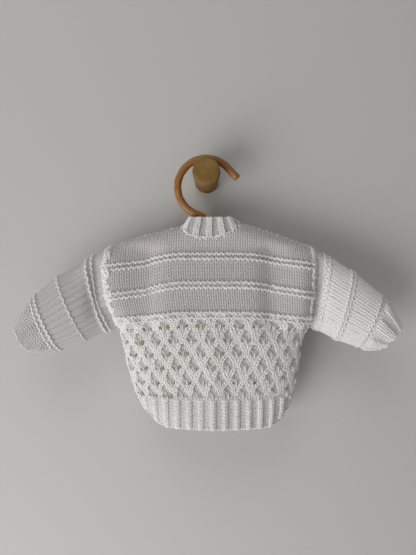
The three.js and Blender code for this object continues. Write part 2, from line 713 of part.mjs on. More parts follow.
// The neckband stands on the necks of the panels and the tops of the bands.
function neckband() {
  const bottom = [];
  const take = (piece, index, flat) => {
    bottom.push({
      outer: piece.sheet.base[index],
      inward: piece.sheet.inward[index],
      flat,
    });
  };
  [...underBand.top].reverse().forEach((index) => take(underBand, index, true));
  leftFront.top.slice(0, FRONT_NECK_COLUMNS + 1).forEach((index) => take(leftFront, index, false));
  const side = (COARSE - NECK_COLUMNS) / 2;
  back.top.slice(side + 1, side + NECK_COLUMNS).forEach((index) => take(back, index, false));
  const rightTop = rightFront.top.slice(0, FRONT_NECK_COLUMNS + 1).reverse();
  rightTop.forEach((index) => take(rightFront, index, false));
  [...overBand.top].reverse().forEach((index) => take(overBand, index, false));

  const points = [];
  for (let i = 0; i < bottom.length - 1; i += 1) {
    const a = bottom[i];
    const b = bottom[i + 1];
    const parts = a.outer.distanceTo(b.outer) > 6 ? 3 : 1;
    for (let k = 0; k < parts; k += 1) {
      points.push({
        outer: a.outer.clone().lerp(b.outer, k / parts),
        inward: a.inward.clone().lerp(b.inward, k / parts).normalize(),
        flat: a.flat || b.flat,
      });
    }
  }
  points.push(bottom[bottom.length - 1]);

  const centreX = (NECK.left + NECK.right) / 2 + 2;
  const sheet = new Sheet();
  const heights = [{ up: 0, raise: 0 }, { up: 0.12, raise: 1 }, { up: 1, raise: 1 }];
  const lines = heights.map((h) => points.map((p, i) => {
    const q = p.outer.clone();
    const next = points[Math.min(points.length - 1, i + 1)].outer;
    const last = points[Math.max(0, i - 1)].outer;
    const rise = p.inward.clone().cross(next.clone().sub(last)).normalize();
    if (rise.z < 0) {
      rise.negate();
    }
    const behind = q.y < HANG_Y;
    const frontZ = Math.min(NECKBAND_TOP_Z, q.z + NECKBAND_HEIGHT);
    const topZ = behind ? NECKBAND_TOP_Z : mix(NECKBAND_TOP_Z, frontZ, smooth((q.y - HANG_Y) / 8));
    const lean = mix(NECKBAND_LEAN.side, NECKBAND_LEAN.back, smooth(Math.abs(q.y - HANG_Y) / 10));
    q.addScaledVector(rise, NECKBAND_SEAM * (1 - h.up));
    q.z = mix(q.z, topZ, h.up);
    q.x = mix(q.x, centreX + (q.x - centreX) * lean, h.up);
    const rib = i % 3 === 1 && !p.flat ? h.raise * RIB : 0;
    return sheet.add(q, rib, p.inward);
  }));
  for (let i = 0; i < lines.length - 1; i += 1) {
    for (let j = 0; j < points.length - 1; j += 1) {
      sheet.quad(lines[i][j], lines[i][j + 1], lines[i + 1][j + 1], lines[i + 1][j]);
    }
  }
  return sheet.mesh('neckband', WOOL);
}

// A closed tube with flat ends along a path in the hang plane.
function tube(name, path, radii, sides, colour, roughness) {
  const points = [];
  const faces = [];
  path.forEach((p, i) => {
    const a = path[Math.max(0, i - 1)];
    const b = path[Math.min(path.length - 1, i + 1)];
    const along = new THREE.Vector3(b.x - a.x, 0, b.z - a.z).normalize();
    const across = new THREE.Vector3(-along.z, 0, along.x);
    for (let k = 0; k < sides; k += 1) {
      const angle = (2 * Math.PI * k) / sides;
      const r = radii[i];
      points.push(new THREE.Vector3(p.x, HANG_Y + Math.sin(angle) * r, p.z)
        .addScaledVector(across, Math.cos(angle) * r));
    }
  });
  for (let i = 0; i < path.length - 1; i += 1) {
    for (let k = 0; k < sides; k += 1) {
      const n = (k + 1) % sides;
      const a = i * sides;
      const b = a + sides;
      faces.push([a + k, b + k, b + n], [a + k, b + n, a + n]);
    }
  }
  const last = (path.length - 1) * sides;
  for (let k = 1; k < sides - 1; k += 1) {
    faces.push([0, k, k + 1], [last, last + k + 1, last + k]);
  }
  return solid(name, points, faces, colour, roughness, 0);
}

// The hook: an open tip, round the ring, then a bend down into the neck.
function hook() {
  const path = [];
  const radii = [];
  const tip = { turn: 16, flare: 3.9, over: 24 };
  const leave = 253.8;
  const steps = 30;
  for (let i = 0; i <= steps; i += 1) {
    const degrees = mix(tip.turn, leave, i / steps);
    const angle = THREE.MathUtils.degToRad(degrees);
    const open = Math.max(0, 1 - (degrees - tip.turn) / tip.over);
    const r = RING + tip.flare * open * open;
    path.push({ x: r * Math.cos(angle), z: RING_Z + r * Math.sin(angle) });
    radii.push(i === 0 ? ROD * 0.7 : ROD);
  }
  const bend = 12;
  const end = path[path.length - 1];
  const angle = THREE.MathUtils.degToRad(leave);
  const centre = { x: end.x + bend * Math.cos(angle), z: end.z + bend * Math.sin(angle) };
  for (let i = 1; i <= 5; i += 1) {
    const turn = mix(angle - Math.PI, 0, i / 5);
    path.push({ x: centre.x + bend * Math.cos(turn), z: centre.z + bend * Math.sin(turn) });
    radii.push(ROD);
  }
  const foot = path[path.length - 1];
  path.push({ x: foot.x, z: Math.max(barZ(foot.x - ROD), barZ(foot.x + ROD)) + BAR + SEAM });
  radii.push(ROD);
  return tube('hanger_hook', path, radii, 10, CANE, 0.45);
}

// The bar runs just under the shoulder line and level across the neck.
function barZ(x) {
  const middle = (NECK.left + NECK.right) / 2;
  const beyond = Math.abs(x - middle) - (NECK.right - NECK.left) / 2;
  const neckDrop = BAR_GAP.neck * (1 - smooth(beyond / BAR_GAP.over));
  const under = WALL + BAR_GAP.shoulder + BAR + neckDrop;
  if (beyond > 0) {
    return shoulderZ(x) - under;
  }
  const across = (x - NECK.left) / (NECK.right - NECK.left);
  return mix(NECK.leftZ, NECK.rightZ, across) - under;
}

function bar() {
  const path = [];
  const radii = [];
  const steps = 22;
  for (let i = 0; i <= steps; i += 1) {
    const x = mix(BAR_ENDS.left, BAR_ENDS.right, i / steps);
    path.push({ x, z: barZ(x) });
    radii.push(i === 0 || i === steps ? BAR * 0.7 : BAR);
  }
  return tube('hanger_bar', path, radii, 10, CANE, 0.5);
}

// A body turned about the Y axis. Profile rows go from the wall outwards.
function turned(name, profile, sides, centre, colour, roughness, metalness) {
  const points = [];
  const faces = [];
  points.push(new THREE.Vector3(centre.x, centre.y + profile[0].y, centre.z));
  for (const row of profile) {
    for (let k = 0; k < sides; k += 1) {
      const angle = (2 * Math.PI * k) / sides;
      points.push(new THREE.Vector3(
        centre.x + row.r * Math.cos(angle),
        centre.y + row.y,
        centre.z + row.r * Math.sin(angle),
      ));
    }
  }
  const at = (i, k) => 1 + i * sides + (k % sides);
  const last = profile.length - 1;
  points.push(new THREE.Vector3(centre.x, centre.y + profile[last].y + (profile[last].dome || 0), centre.z));
  const tip = points.length - 1;
  const flip = profile[last].y > profile[0].y;
  const put = (a, b, c) => faces.push(flip ? [a, c, b] : [a, b, c]);
  for (let k = 0; k < sides; k += 1) {
    put(0, at(0, k + 1), at(0, k));
    for (let i = 0; i < last; i += 1) {
      put(at(i, k), at(i, k + 1), at(i + 1, k + 1));
      put(at(i, k), at(i + 1, k + 1), at(i + 1, k));
    }
    put(tip, at(last, k), at(last, k + 1));
  }
  return solid(name, points, faces, colour, roughness, metalness);
}

function knob() {
  const profile = [
    { r: 13.2, y: 0 },
    { r: 13.4, y: -16 },
    { r: KNOB_REST_RADIUS, y: HANG_Y },
    { r: 14.7, y: -46.5 },
    { r: 14.4, y: -48.4 },
    { r: 13, y: -49.6, dome: -0.4 },
  ];
  return turned('wall_knob', profile, 32, new THREE.Vector3(0, 0, 0), BRASS, 0.4, 0.8);
}

function button(index) {
  const z = BUTTON.topZ - BUTTON.step * index;
  const row = finishRow({ z, left: 0, right: 0, up: 0, raise: 0 });
  const middle = (row.leftX + row.rightX) / 2;
  const lower = finishRow({ ...row, z: z - BUTTON.radius });
  const seat = bodyPoint('front', turnOf(lower, middle), lower);
  const y = seat.y + BAND.lift + BUTTON.gap;
  const profile = [
    { r: BUTTON.radius - 0.7, y: 0 },
    { r: BUTTON.radius, y: 0.8 },
    { r: BUTTON.radius, y: 1.7 },
    { r: BUTTON.radius - 0.8, y: BUTTON.thick, dome: -0.3 },
  ];
  const name = `button_${index + 1}`;
  return turned(name, profile, 14, new THREE.Vector3(middle, y, z), SHELL, 0.35, 0);
}

const cardigan = new THREE.Group();
cardigan.name = 'cardigan_on_wall_knob';
cardigan.add(back.mesh, leftFront.mesh, rightFront.mesh);
cardigan.add(underBand.mesh, overBand.mesh, neckband());
cardigan.add(sleeve('left_sleeve', 'left'), sleeve('right_sleeve', 'right'));
for (let i = 0; i < BUTTON.count; i += 1) {
  cardigan.add(button(i));
}
cardigan.add(bar(), hook(), knob());

export default cardigan;
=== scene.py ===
import math

import bpy
import numpy as np
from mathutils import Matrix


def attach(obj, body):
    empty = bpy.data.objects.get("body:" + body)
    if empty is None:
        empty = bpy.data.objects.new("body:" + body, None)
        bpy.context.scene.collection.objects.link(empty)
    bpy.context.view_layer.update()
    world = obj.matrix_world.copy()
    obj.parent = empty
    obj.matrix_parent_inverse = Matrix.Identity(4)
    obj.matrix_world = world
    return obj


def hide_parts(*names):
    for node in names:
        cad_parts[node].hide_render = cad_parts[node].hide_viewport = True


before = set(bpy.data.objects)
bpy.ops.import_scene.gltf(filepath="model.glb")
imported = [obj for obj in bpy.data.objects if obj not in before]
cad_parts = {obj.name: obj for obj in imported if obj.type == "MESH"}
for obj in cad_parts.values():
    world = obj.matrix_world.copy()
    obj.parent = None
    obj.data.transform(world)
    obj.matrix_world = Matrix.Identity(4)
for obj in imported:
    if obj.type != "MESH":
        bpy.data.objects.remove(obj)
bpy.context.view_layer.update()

# Wall knob: a short solid brass knob, turned, with a softly rounded rim and a slightly wider
# face, gone dull and brown with age. It is screwed to the wall from behind. All lengths below
# are in millimetres, in the frame of the CAD model, and become metres when a mesh is made.
HANG_Y = -30.0


def material(name, colour, roughness, **settings):
    """A new material with its shader, ready for nodes to be linked in."""
    made = bpy.data.materials.new(name)
    made.use_nodes = True
    shader = made.node_tree.nodes["Principled BSDF"]
    shader.inputs["Base Color"].default_value = (*colour, 1)
    shader.inputs["Roughness"].default_value = roughness
    for key, value in settings.items():
        shader.inputs[key.replace("_", " ")].default_value = value
    return made, made.node_tree, shader


def piece(name, points, faces, surface, uv=None):
    """A mesh of quads (or of mixed faces given as a list) that rides on the part's one body."""
    mesh = bpy.data.meshes.new(name)
    points = np.asarray(points, float) * 0.001
    if isinstance(faces, list):
        mesh.from_pydata([tuple(p) for p in points], [], faces)
    else:
        mesh.vertices.add(len(points))
        mesh.vertices.foreach_set("co", points.ravel())
        mesh.loops.add(faces.size)
        mesh.loops.foreach_set("vertex_index", faces.ravel().astype(np.int32))
        mesh.polygons.add(len(faces))
        mesh.polygons.foreach_set("loop_start", np.arange(0, faces.size, faces.shape[1], dtype=np.int32))
        mesh.update(calc_edges=True)
    mesh.polygons.foreach_set("use_smooth", np.full(len(mesh.polygons), True))
    if uv is not None:
        layer = mesh.uv_layers.new(name="along")
        corners = np.zeros(len(mesh.loops), np.int32)
        mesh.loops.foreach_get("vertex_index", corners)
        layer.data.foreach_set("uv", np.asarray(uv, float)[corners].ravel())
    mesh.update()
    made = bpy.data.objects.new(name, mesh)
    bpy.context.scene.collection.objects.link(made)
    made.data.materials.append(surface)
    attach(made, "root")
    return made


def lathe(rows, sides, centre):
    """Points and faces of a body turned about an axis along Y. Rows are (radius, y)."""
    points = [(centre[0], centre[1] + rows[0][1], centre[2])]
    for radius, y in rows:
        for k in range(sides):
            a = 2 * math.pi * k / sides
            points.append((centre[0] + radius * math.cos(a), centre[1] + y, centre[2] + radius * math.sin(a)))
    points.append((centre[0], centre[1] + rows[-1][1], centre[2]))
    faces = []
    for k in range(sides):
        n = (k + 1) % sides
        faces.append((0, 1 + n, 1 + k))
        for i in range(len(rows) - 1):
            a, b = 1 + i * sides, 1 + (i + 1) * sides
            faces.append((a + k, a + n, b + n, b + k))
        last = 1 + (len(rows) - 1) * sides
        faces.append((len(points) - 1, last + k, last + n))
    return points, faces


def noise(tree, scale, detail, stretch=None, source="Object"):
    """A noise texture on object or UV coordinates, stretched along an axis if wanted."""
    place = tree.nodes.new("ShaderNodeTexCoord").outputs[source]
    if stretch:
        mapping = tree.nodes.new("ShaderNodeMapping")
        mapping.inputs["Scale"].default_value = stretch
        tree.links.new(place, mapping.inputs["Vector"])
        place = mapping.outputs["Vector"]
    texture = tree.nodes.new("ShaderNodeTexNoise")
    texture.inputs["Scale"].default_value = scale
    texture.inputs["Detail"].default_value = detail
    tree.links.new(place, texture.inputs["Vector"])
    return texture.outputs["Fac"]


def ramp(tree, value, stops):
    """A colour ramp. Stops are (place, colour)."""
    node = tree.nodes.new("ShaderNodeValToRGB")
    while len(node.color_ramp.elements) < len(stops):
        node.color_ramp.elements.new(0.5)
    for element, (place, colour) in zip(node.color_ramp.elements, stops):
        element.position = place
        element.color = (*colour, 1)
    tree.links.new(value, node.inputs["Fac"])
    return node.outputs["Color"]


def bump(tree, sink, height, strength, distance):
    """Turns a height into the normal of a shader, or of a group's output."""
    node = tree.nodes.new("ShaderNodeBump")
    node.inputs["Strength"].default_value = strength
    node.inputs["Distance"].default_value = distance
    tree.links.new(height, node.inputs["Height"])
    tree.links.new(node.outputs["Normal"], sink.inputs["Normal"])


brass, tree, shader = material("aged_brass", (0.33, 0.2, 0.075), 0.68, Metallic=0.25)
patches = noise(tree, 60, 6)
brass_colour = ramp(tree, patches, [
    (0.3, (0.2, 0.105, 0.026)), (0.55, (0.29, 0.16, 0.045)), (0.8, (0.37, 0.215, 0.065)),
])
tree.links.new(brass_colour, shader.inputs["Base Color"])
bump(tree, shader, noise(tree, 900, 3, (1, 0.15, 1)), 0.25, 0.0004)
KNOB_ROWS = [
    (13.0, 0), (13.2, -0.4), (13.35, -8), (13.5, -18), (14.0, -28), (14.35, -38), (14.6, -45.6),
    (14.62, -46.8), (14.5, -47.8), (14.1, -48.6), (13.5, -49.2), (12.6, -49.5), (8, -49.7), (0.5, -49.75),
]
points, faces = lathe(KNOB_ROWS, 96, (0, 0, 0))
knob = piece("knob", points, faces, brass)
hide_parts("wall_knob")

# Ring hook: a round cane rod, steamed and bent into an open ring that hangs on the knob, with
# its free end cut square at the right and its other end bent down into the neck of the garment,
# where it is joined to the shoulder bar. The cane is varnished, with a fine grain along it.
ROD = 4.0
RING = 31.0
KNOB_TOP = 14.2
WOOD_GAP = 0.3
RING_Z = KNOB_TOP + WOOD_GAP + ROD - RING
FREE_END = 16
LEAVE = 253.8
BEND = 12
BAR = 4.5


def running(steps):
    """Lengths from the start of a line whose steps are given."""
    return np.concatenate([[0], np.cumsum(steps)])


def rod_along(path, radii, sides):
    """Points, faces and grain coordinates of a round rod along a path in the hang plane."""
    path = np.array(path, float)
    points, uv, faces = [], [], []
    along = running(np.hypot(*np.diff(path, axis=0).T))
    for i, (x, z) in enumerate(path):
        a, b = path[max(0, i - 1)], path[min(len(path) - 1, i + 1)]
        way = (b - a) / np.hypot(*(b - a))
        for k in range(sides):
            t = 2 * math.pi * k / sides
            aside = radii[i] * math.cos(t)
            points.append((x - way[1] * aside, HANG_Y + radii[i] * math.sin(t), z + way[0] * aside))
            uv.append((along[i], k / sides))
    for i in range(len(path) - 1):
        for k in range(sides):
            n = (k + 1) % sides
            faces.append((i * sides + k, (i + 1) * sides + k, (i + 1) * sides + n, i * sides + n))
    last = (len(path) - 1) * sides
    faces.append(tuple(range(sides)))
    faces.append(tuple(last + k for k in reversed(range(sides))))
    return points, faces, uv


SHOULDERS = {
    "x": [-108, -93, -70.6, -48.3, -27, 4, 35, 56.6, 83.5, 110.4, 114],
    "z": [-79, -74.4, -66.9, -60.9, -56, -44, -51.5, -58.7, -67.6, -77.2, -79],
}


def shoulder_line(x):
    return np.interp(x, SHOULDERS["x"], SHOULDERS["z"])


def shoulder_bar_z(x):
    """Height of the bar's centre line under the shoulder line."""
    beyond = abs(x - 4) - 31
    t = min(1, max(0, beyond / 14))
    under = 1.6 + 0.7 + BAR + 2.6 * (1 - t * t * (3 - 2 * t))
    line = shoulder_line(x) if beyond > 0 else -56 + (x + 27) / 62 * 4.5
    return line - under


cane, tree, shader = material("cane", (0.42, 0.2, 0.06), 0.45, Coat_Weight=0.12, Coat_Roughness=0.35)
grain = noise(tree, 3, 6, (0.05, 9, 1), "UV")
grain_colour = ramp(tree, grain, [
    (0.3, (0.22, 0.088, 0.018)), (0.5, (0.34, 0.15, 0.035)), (0.72, (0.46, 0.22, 0.06)),
])
tree.links.new(grain_colour, shader.inputs["Base Color"])
bump(tree, shader, grain, 0.2, 0.0003)
path, radii = [], []
for i in range(91):
    degrees = FREE_END + (LEAVE - FREE_END) * i / 90
    a = math.radians(degrees)
    open_end = max(0, 1 - (degrees - FREE_END) / 24)
    r = RING + 3.9 * open_end * open_end
    path.append((r * math.cos(a), RING_Z + r * math.sin(a)))
    radii.append(ROD * (0.93 if i == 0 else 1 + 0.02 * math.sin(i * 0.7)))
end, a = path[-1], math.radians(LEAVE)
centre = (end[0] + BEND * math.cos(a), end[1] + BEND * math.sin(a))
for i in range(1, 13):
    t = (a - math.pi) * (1 - i / 12)
    path.append((centre[0] + BEND * math.cos(t), centre[1] + BEND * math.sin(t)))
    radii.append(ROD)
foot = path[-1][0]
path.append((foot, max(shoulder_bar_z(foot - ROD), shoulder_bar_z(foot + ROD)) + 4.8))
radii.append(ROD)
points, faces, uv = rod_along(path, radii, 24)
ring = piece("ring_hook", points, faces, cane, uv)
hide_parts("hanger_hook")
knot_wood, tree, shader = material("cane_knot", (0.05, 0.025, 0.01), 0.7)
bump(tree, shader, noise(tree, 3000, 2), 0.3, 0.0002)
points, faces = lathe([(0.75, 0), (0.6, -0.25), (0.2, -0.3)], 12, (-25.6, -33.6, -27.1))
piece("cane_knot", points, faces, knot_wood)

# Shoulder bar: a plain round wooden rod inside the garment, bent a little to the slope of the
# shoulders, with rounded ends. It carries the shoulders and is hidden by them.
path = [(x, shoulder_bar_z(x)) for x in np.linspace(-101, 107, 60)]
radii = [BAR * math.sqrt(max(0.3, 1 - max(0, 1 - min(i, 59 - i) / 2.0) ** 2)) for i in range(60)]
points, faces, uv = rod_along(path, radii, 20)
bar = piece("shoulder_bar", points, faces, cane, uv)
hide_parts("hanger_bar")

# Back of the cardigan: one knitted panel in soft white double knitting wool, worked from the
# hem up. It has a ribbed welt, a lace of paired eyelets beside double decreases, and a plain
# yoke with three garter ridges. The cloth itself is a thin shell; each stitch lies on it.
STITCH = 5.0
COURSE = 3.4
RIB = 1.2
TOP_ROW = -83.5
HEM = -265.0
EDGES = {
    "down": [79, 92, 104, 116, 128, 140, 152, 163, 175, 187, 200, 216, 233, 248, 258, 265.5],
    "left": [-107.5, -108.6, -109, -108, -105.8, -102.4, -97.6, -93.8, -90, -87.8, -84.6, -80.8, -75,
             -66.3, -58.5, -49.5],
    "right": [114, 114.5, 114.2, 113.5, 112.4, 111.2, 110, 107.4, 102.5, 100.4, 98.8, 96.2, 93.2, 87.2,
              81, 73.5],
}
DEPTHS = {
    "down": [79, 95, 110, 125, 140, 155, 172, 200, 236, 265.5],
    "depth": [13.5, 17, 20, 22.4, 24.2, 25.4, 26.3, 26.8, 26.8, 26],
}
SEAM_DEPTH = 13.5
DROOPS = {
    "down": [122, 133.4, 144, 152.8, 157.8, 162.2, 174.3, 187.7, 201.9, 216.3, 229.3, 236, 248],
    "left": [12.5, 10, 6.2, 6.2, 5.2, 5.2, 4.4, 3.8, 3, 2.2, 1.2, 0.5, 0],
    "right": [11, 9, 6.2, 6.2, 5.2, 5.2, 4.4, 3.8, 3, 2.2, 1.2, 0.5, 0],
}
SAG = {
    "off": [0, 0.3, 0.42, 0.5, 0.6, 0.7, 0.82, 0.92, 1],
    "left": [0, 0.01, 0.16, 0.31, 0.6, 0.72, 0.84, 0.94, 1],
    "right": [0, 0, 0.08, 0.2, 0.38, 0.55, 0.72, 0.89, 1],
}
FOLDS = [
    {"x": -117, "left": 7, "right": 7, "rise": -3.5, "top": -84, "foot": -160},
    {"x": -101, "left": 12, "right": 12, "rise": 1.2, "top": -80, "foot": -168},
    {"x": -62, "left": 26, "right": 13, "rise": -6.2, "top": -70, "foot": -178},
    {"x": 67.5, "left": 12, "right": 20, "rise": -6.2, "top": -70, "foot": -178},
    {"x": 101, "left": 9, "right": 9, "rise": 2, "top": -84, "foot": -170},
    {"x": 118, "left": 6.5, "right": 6.5, "rise": -5, "top": -82, "foot": -160},
    {"x": 7, "left": 16, "right": 16, "rise": 2.4, "top": -156, "foot": -300},
]
NECK = {"left": -27, "right": 35, "left_z": -56, "right_z": -51.5, "back": 15, "front": 23}
EYELETS = {"z": [-160, -174.3, -187.7, -201.9, -216.3, -229.3], "phase": [4, 2, 4, 2, 4, 2]}
HOLE = 2.35
random = np.random.default_rng(7)


def smooth(t):
    t = np.clip(t, 0, 1)
    return t * t * (3 - 2 * t)


def mix(a, b, t):
    return a + (b - a) * t


def edge_x(side, z):
    """Place of the body's left or right edge at a height."""
    return np.interp(-np.asarray(z), EDGES["down"], EDGES[side])


def droop(side, base):
    """How far a row of the cloth hangs lower at a side than in the middle."""
    return np.interp(-base, DROOPS["down"], DROOPS[side])


def depth_at(z):
    return np.interp(-np.asarray(z, float), DEPTHS["down"], DEPTHS["depth"])


def armhole(z):
    return np.where(z >= -121, 1.0, np.sqrt(np.clip(1 - ((-121 - z) / 42) ** 2, 0, 1)))


def closing(x, z):
    q = np.clip((shoulder_line(x) - z) / 16, 0, 1)
    return np.sqrt(1 - (1 - q) ** 2)


def fold(x, z):
    total = 0
    for f in FOLDS:
        across = np.exp(-((x - f["x"]) / np.where(x < f["x"], f["left"], f["right"])) ** 2)
        total = total + f["rise"] * across * smooth((f["top"] - z) / 14) * smooth((z - f["foot"]) / 22)
    return total


def top_edge(face, x):
    s = np.clip((2 * x - NECK["left"] - NECK["right"]) / (NECK["right"] - NECK["left"]), -1, 1)
    neck = mix(NECK["left_z"], NECK["right_z"], (s + 1) / 2) - NECK[face] * (1 - s * s) ** 0.62
    return np.where(np.abs(s) < 1, neck, shoulder_line(x))


def body_points(face, turn, base, up=0.0):
    """Points of the body at angles round its section, on the row whose middle is at base."""
    s = np.sin(turn)
    drop_left, drop_right = droop("left", base), droop("right", base)
    ends = [mix(base - drop, -79, up) if base >= TOP_ROW else base - drop for drop in (drop_left, drop_right)]
    left, right = edge_x("left", ends[0]), edge_x("right", ends[1])
    x = (left + right) / 2 + (right - left) / 2 * s
    sag = [np.interp(np.abs(s), SAG["off"], SAG[side]) for side in ("left", "right")]
    z = base - np.where(s < 0, drop_left * sag[0], drop_right * sag[1])
    z = mix(z, top_edge(face, x), up)
    behind = np.abs(turn) > math.pi / 2
    share = np.where(behind, 1.0, 1.0 if face == "back" else 0.8)
    full = depth_at(z) * share
    shut = armhole(z) * SEAM_DEPTH / depth_at(z)
    bend = np.abs(s) ** mix(3, 9, armhole(z))
    d = full * closing(x, z) * np.sqrt(np.clip(1 - (1 - shut ** 2) * bend, 0, 1))
    d = np.where(behind, full * np.cos(turn), d)
    if face == "back":
        d = d + fold(x, z) * np.clip(d / full, 0, 1)
    y = HANG_Y + (-1 if face == "back" else 1) * (0.15 + d)
    return np.stack([x, y, z], -1)


class Skin:
    """A grid of points on a piece's outer face, read smoothly at any place, with its normals.

    Columns are counted in stitches and rows in millimetres from the grid's first row."""

    def __init__(self, points, per_stitch, outward, first=0.0, closed=False):
        self.points, self.per, self.first, self.closed = points, per_stitch, first, closed
        across = np.gradient(points, axis=1)
        if closed:
            across[:, 0] = across[:, -1] = points[:, 1] - points[:, -2]
        down = np.gradient(points, axis=0)
        normals = np.cross(across, down)
        size = np.linalg.norm(normals, axis=-1, keepdims=True)
        normals = normals / np.maximum(size, 1e-9)
        self.flip = np.sum(normals * outward(points)) < 0
        self.normals = -normals if self.flip else normals
        steps = np.linalg.norm(np.diff(points, axis=1), axis=-1)
        self.arc = np.concatenate([np.zeros((len(points), 1)), np.cumsum(steps, axis=1)], 1)
        self.columns = np.arange(points.shape[1]) / per_stitch

    def from_middle(self, x):
        """Measures lengths along the rows from where they cross the given place."""
        for row, line in zip(self.arc, self.points[..., 0]):
            row -= np.interp(x, line, row)

    def along(self, given, v, to_length):
        """Turns columns into lengths along their rows, or lengths into columns."""
        out = np.zeros(given.shape)
        row = np.clip(np.round(v - self.first), 0, len(self.arc) - 1).astype(int)
        for k in np.unique(row):
            known, wanted = (self.columns, self.arc[k]) if to_length else (self.arc[k], self.columns)
            out[row == k] = np.interp(given[row == k], known, wanted)
        return out

    def column(self, arc, v):
        return self.along(arc, v, False)

    def length(self, u, v):
        return self.along(u, v, True)

    def at(self, u, v, rise):
        rows, columns = self.points.shape[:2]
        c = np.asarray(u) * self.per
        c = c % (columns - 1) if self.closed else np.clip(c, 0, columns - 1.001)
        r = np.clip(np.asarray(v) - self.first, 0, rows - 1.001)
        i, j = r.astype(int), c.astype(int)
        j = np.minimum(j, columns - 2)
        fr, fc = (r - i)[..., None], (c - j)[..., None]

        def read(grid):
            return (grid[i, j] * (1 - fr) * (1 - fc) + grid[i + 1, j] * fr * (1 - fc)
                    + grid[i, j + 1] * (1 - fr) * fc + grid[i + 1, j + 1] * fr * fc)

        return read(self.points) + read(self.normals) * np.asarray(rise)[..., None]


def even_turns(face, base, start, end, count):
    """Angles that divide a row of the cloth into equal lengths."""
    turns = np.linspace(start, end, 241)
    p = body_points(face, turns, base)
    length = running(np.hypot(np.diff(p[:, 0]), np.diff(p[:, 1])))
    return np.interp(np.linspace(0, length[-1], count + 1), length, turns)


def body_skin(face, stitches, reach):
    """Skin of the back or of one front, and how far its cloth runs up from the first ridge."""
    per = 4
    rows = []
    for base in np.arange(TOP_ROW, HEM - 1.01, -1):
        start, end = reach(base)
        rows.append(body_points(face, even_turns(face, base, start, end, stitches * per), base))
    start, end = reach(TOP_ROW)
    turns = even_turns(face, TOP_ROW, start, end, stitches * per)
    ups = 1 - np.linspace(1, 0, 90) ** 2
    column = np.stack([body_points(face, turns, TOP_ROW, up) for up in ups])
    steps = np.linalg.norm(np.diff(column, axis=0), axis=-1)
    climb = np.concatenate([np.zeros((1, len(turns))), np.cumsum(steps, axis=0)])
    tallest = int(climb[-1].max()) + 3
    heights = np.arange(tallest, 0, -1)
    top = np.empty((tallest, len(turns), 3))
    for j in range(len(turns)):
        for axis in range(3):
            top[:, j, axis] = np.interp(heights, climb[:, j], column[:, j, axis])
    way = -1 if face == "back" else 1

    def outward(points):
        out = np.zeros_like(points)
        out[..., 1] = way
        return out

    skin = Skin(np.concatenate([top, np.array(rows)]), per, outward, -tallest)
    return skin, climb[-1]


def side_turn(base):
    return mix(math.pi / 2, 1.24, smooth((-185 - base) / 80))


def down(z):
    """Row coordinate of a height on the middle of a panel."""
    return TOP_ROW - np.asarray(z, float)


PULL = {"t": [0, 0.12, 0.5, 0.84, 1], "at": [1.28, 1.16, 0.92, 0.5, 0.72]}


def wander(u, v):
    """The lace's stitch columns lean from each eyelet towards the next double decrease above."""
    rows = down(EYELETS["z"])
    u, v = np.broadcast_arrays(np.asarray(u, float), np.asarray(v, float))
    out = u.copy()
    spans = [(rows[0] - 7, rows[0], 2.5, True)]
    for i in range(len(rows) - 1):
        spans.append((rows[i], rows[i + 1], EYELETS["phase"][i] + 0.5, False))
    spans.append((rows[-1], rows[-1] + 9, EYELETS["phase"][-1] + 0.5, False))
    for k, (start, end, centre, opening) in enumerate(spans):
        inside = (v >= start) & (v < end)
        t = np.clip((end - v) / (end - start), 0, 1)
        at = np.interp(t, PULL["t"], PULL["at"])
        if opening:
            at = mix(1.28, 1.0, smooth(t))
        if k == len(spans) - 1:
            high = np.interp(t, [0.5, 0.84, 1], [0.6, 0.5, 0.72])
            at = np.where(t < 0.5, mix(1.0, 0.6, smooth(t * 2)), high)
        d = (u - centre + 2) % 4 - 2
        size = np.abs(d)
        moved = np.where(size < 1, size * at, at + (size - 1) * (2 - at))
        out = np.where(inside, u - d + np.sign(d) * moved, out)
    return out, v


def hole_places(stitches, share=1.0):
    """Middles of the eyelets as (column, row)."""
    out = []
    for z, phase in zip(EYELETS["z"], EYELETS["phase"]):
        centre = (phase + 0.5) % 4 - 4
        while centre < stitches + 4:
            for side in (-0.9, 0.9):
                if 1.2 < centre + side < stitches - 1.2:
                    size = share * HOLE * random.uniform(0.65, 1.3)
                    column = centre + side + random.normal(0, 0.05)
                    out.append((column, down(z) + random.normal(0, 0.4), size))
            centre += 4
    return np.array(out)


def open_holes(u, v, holes, faces):
    """Pushes the cloth outwards from each eyelet, and drops the faces across it."""
    near = np.full(u.shape, 1e9)
    hu, hv, hr = np.zeros(u.shape), np.zeros(u.shape), np.full(u.shape, HOLE)
    lace = (v > holes[:, 1].min() - 9) & (v < holes[:, 1].max() + 9)
    index = np.nonzero(lace)[0]
    for part in np.array_split(index, max(1, len(index) // 20000)):
        du = (u[part, None] - holes[None, :, 0]) * STITCH
        dv = v[part, None] - holes[None, :, 1]
        r = np.hypot(du, dv)
        k = r.argmin(axis=1)
        near[part] = r[np.arange(len(part)), k]
        hu[part], hv[part], hr[part] = holes[k, 0], holes[k, 1], holes[k, 2]
    r = np.maximum(near, 1e-3)
    pushed = r + (np.sqrt(r * r + hr * hr) - r) * np.exp(-((r / 4.5) ** 2))
    scale = np.where(near < 1e8, pushed / r, 1.0)
    du, dv = (u - hu) * STITCH, v - hv
    ring = np.where(near < 1e8, np.arctan2(dv, du), 0)
    u = np.where(near < 1e8, hu + du * scale / STITCH, u)
    v = np.where(near < 1e8, hv + dv * scale, v)
    corner = near[faces]
    angles = ring[faces]
    spread = np.hypot(np.cos(angles).mean(axis=1), np.sin(angles).mean(axis=1))
    across = (corner.min(axis=1) < 2.4) & (spread < 0.72)
    keep = ~(across | (corner.mean(axis=1) < 0.75))
    return u, v, faces[keep]


RIB_AT = 2.1
RIB_PITCH = 12.2
RIDGES = [-87.9, -117.6, -148.4]
RIDGE_ROW = 2.6


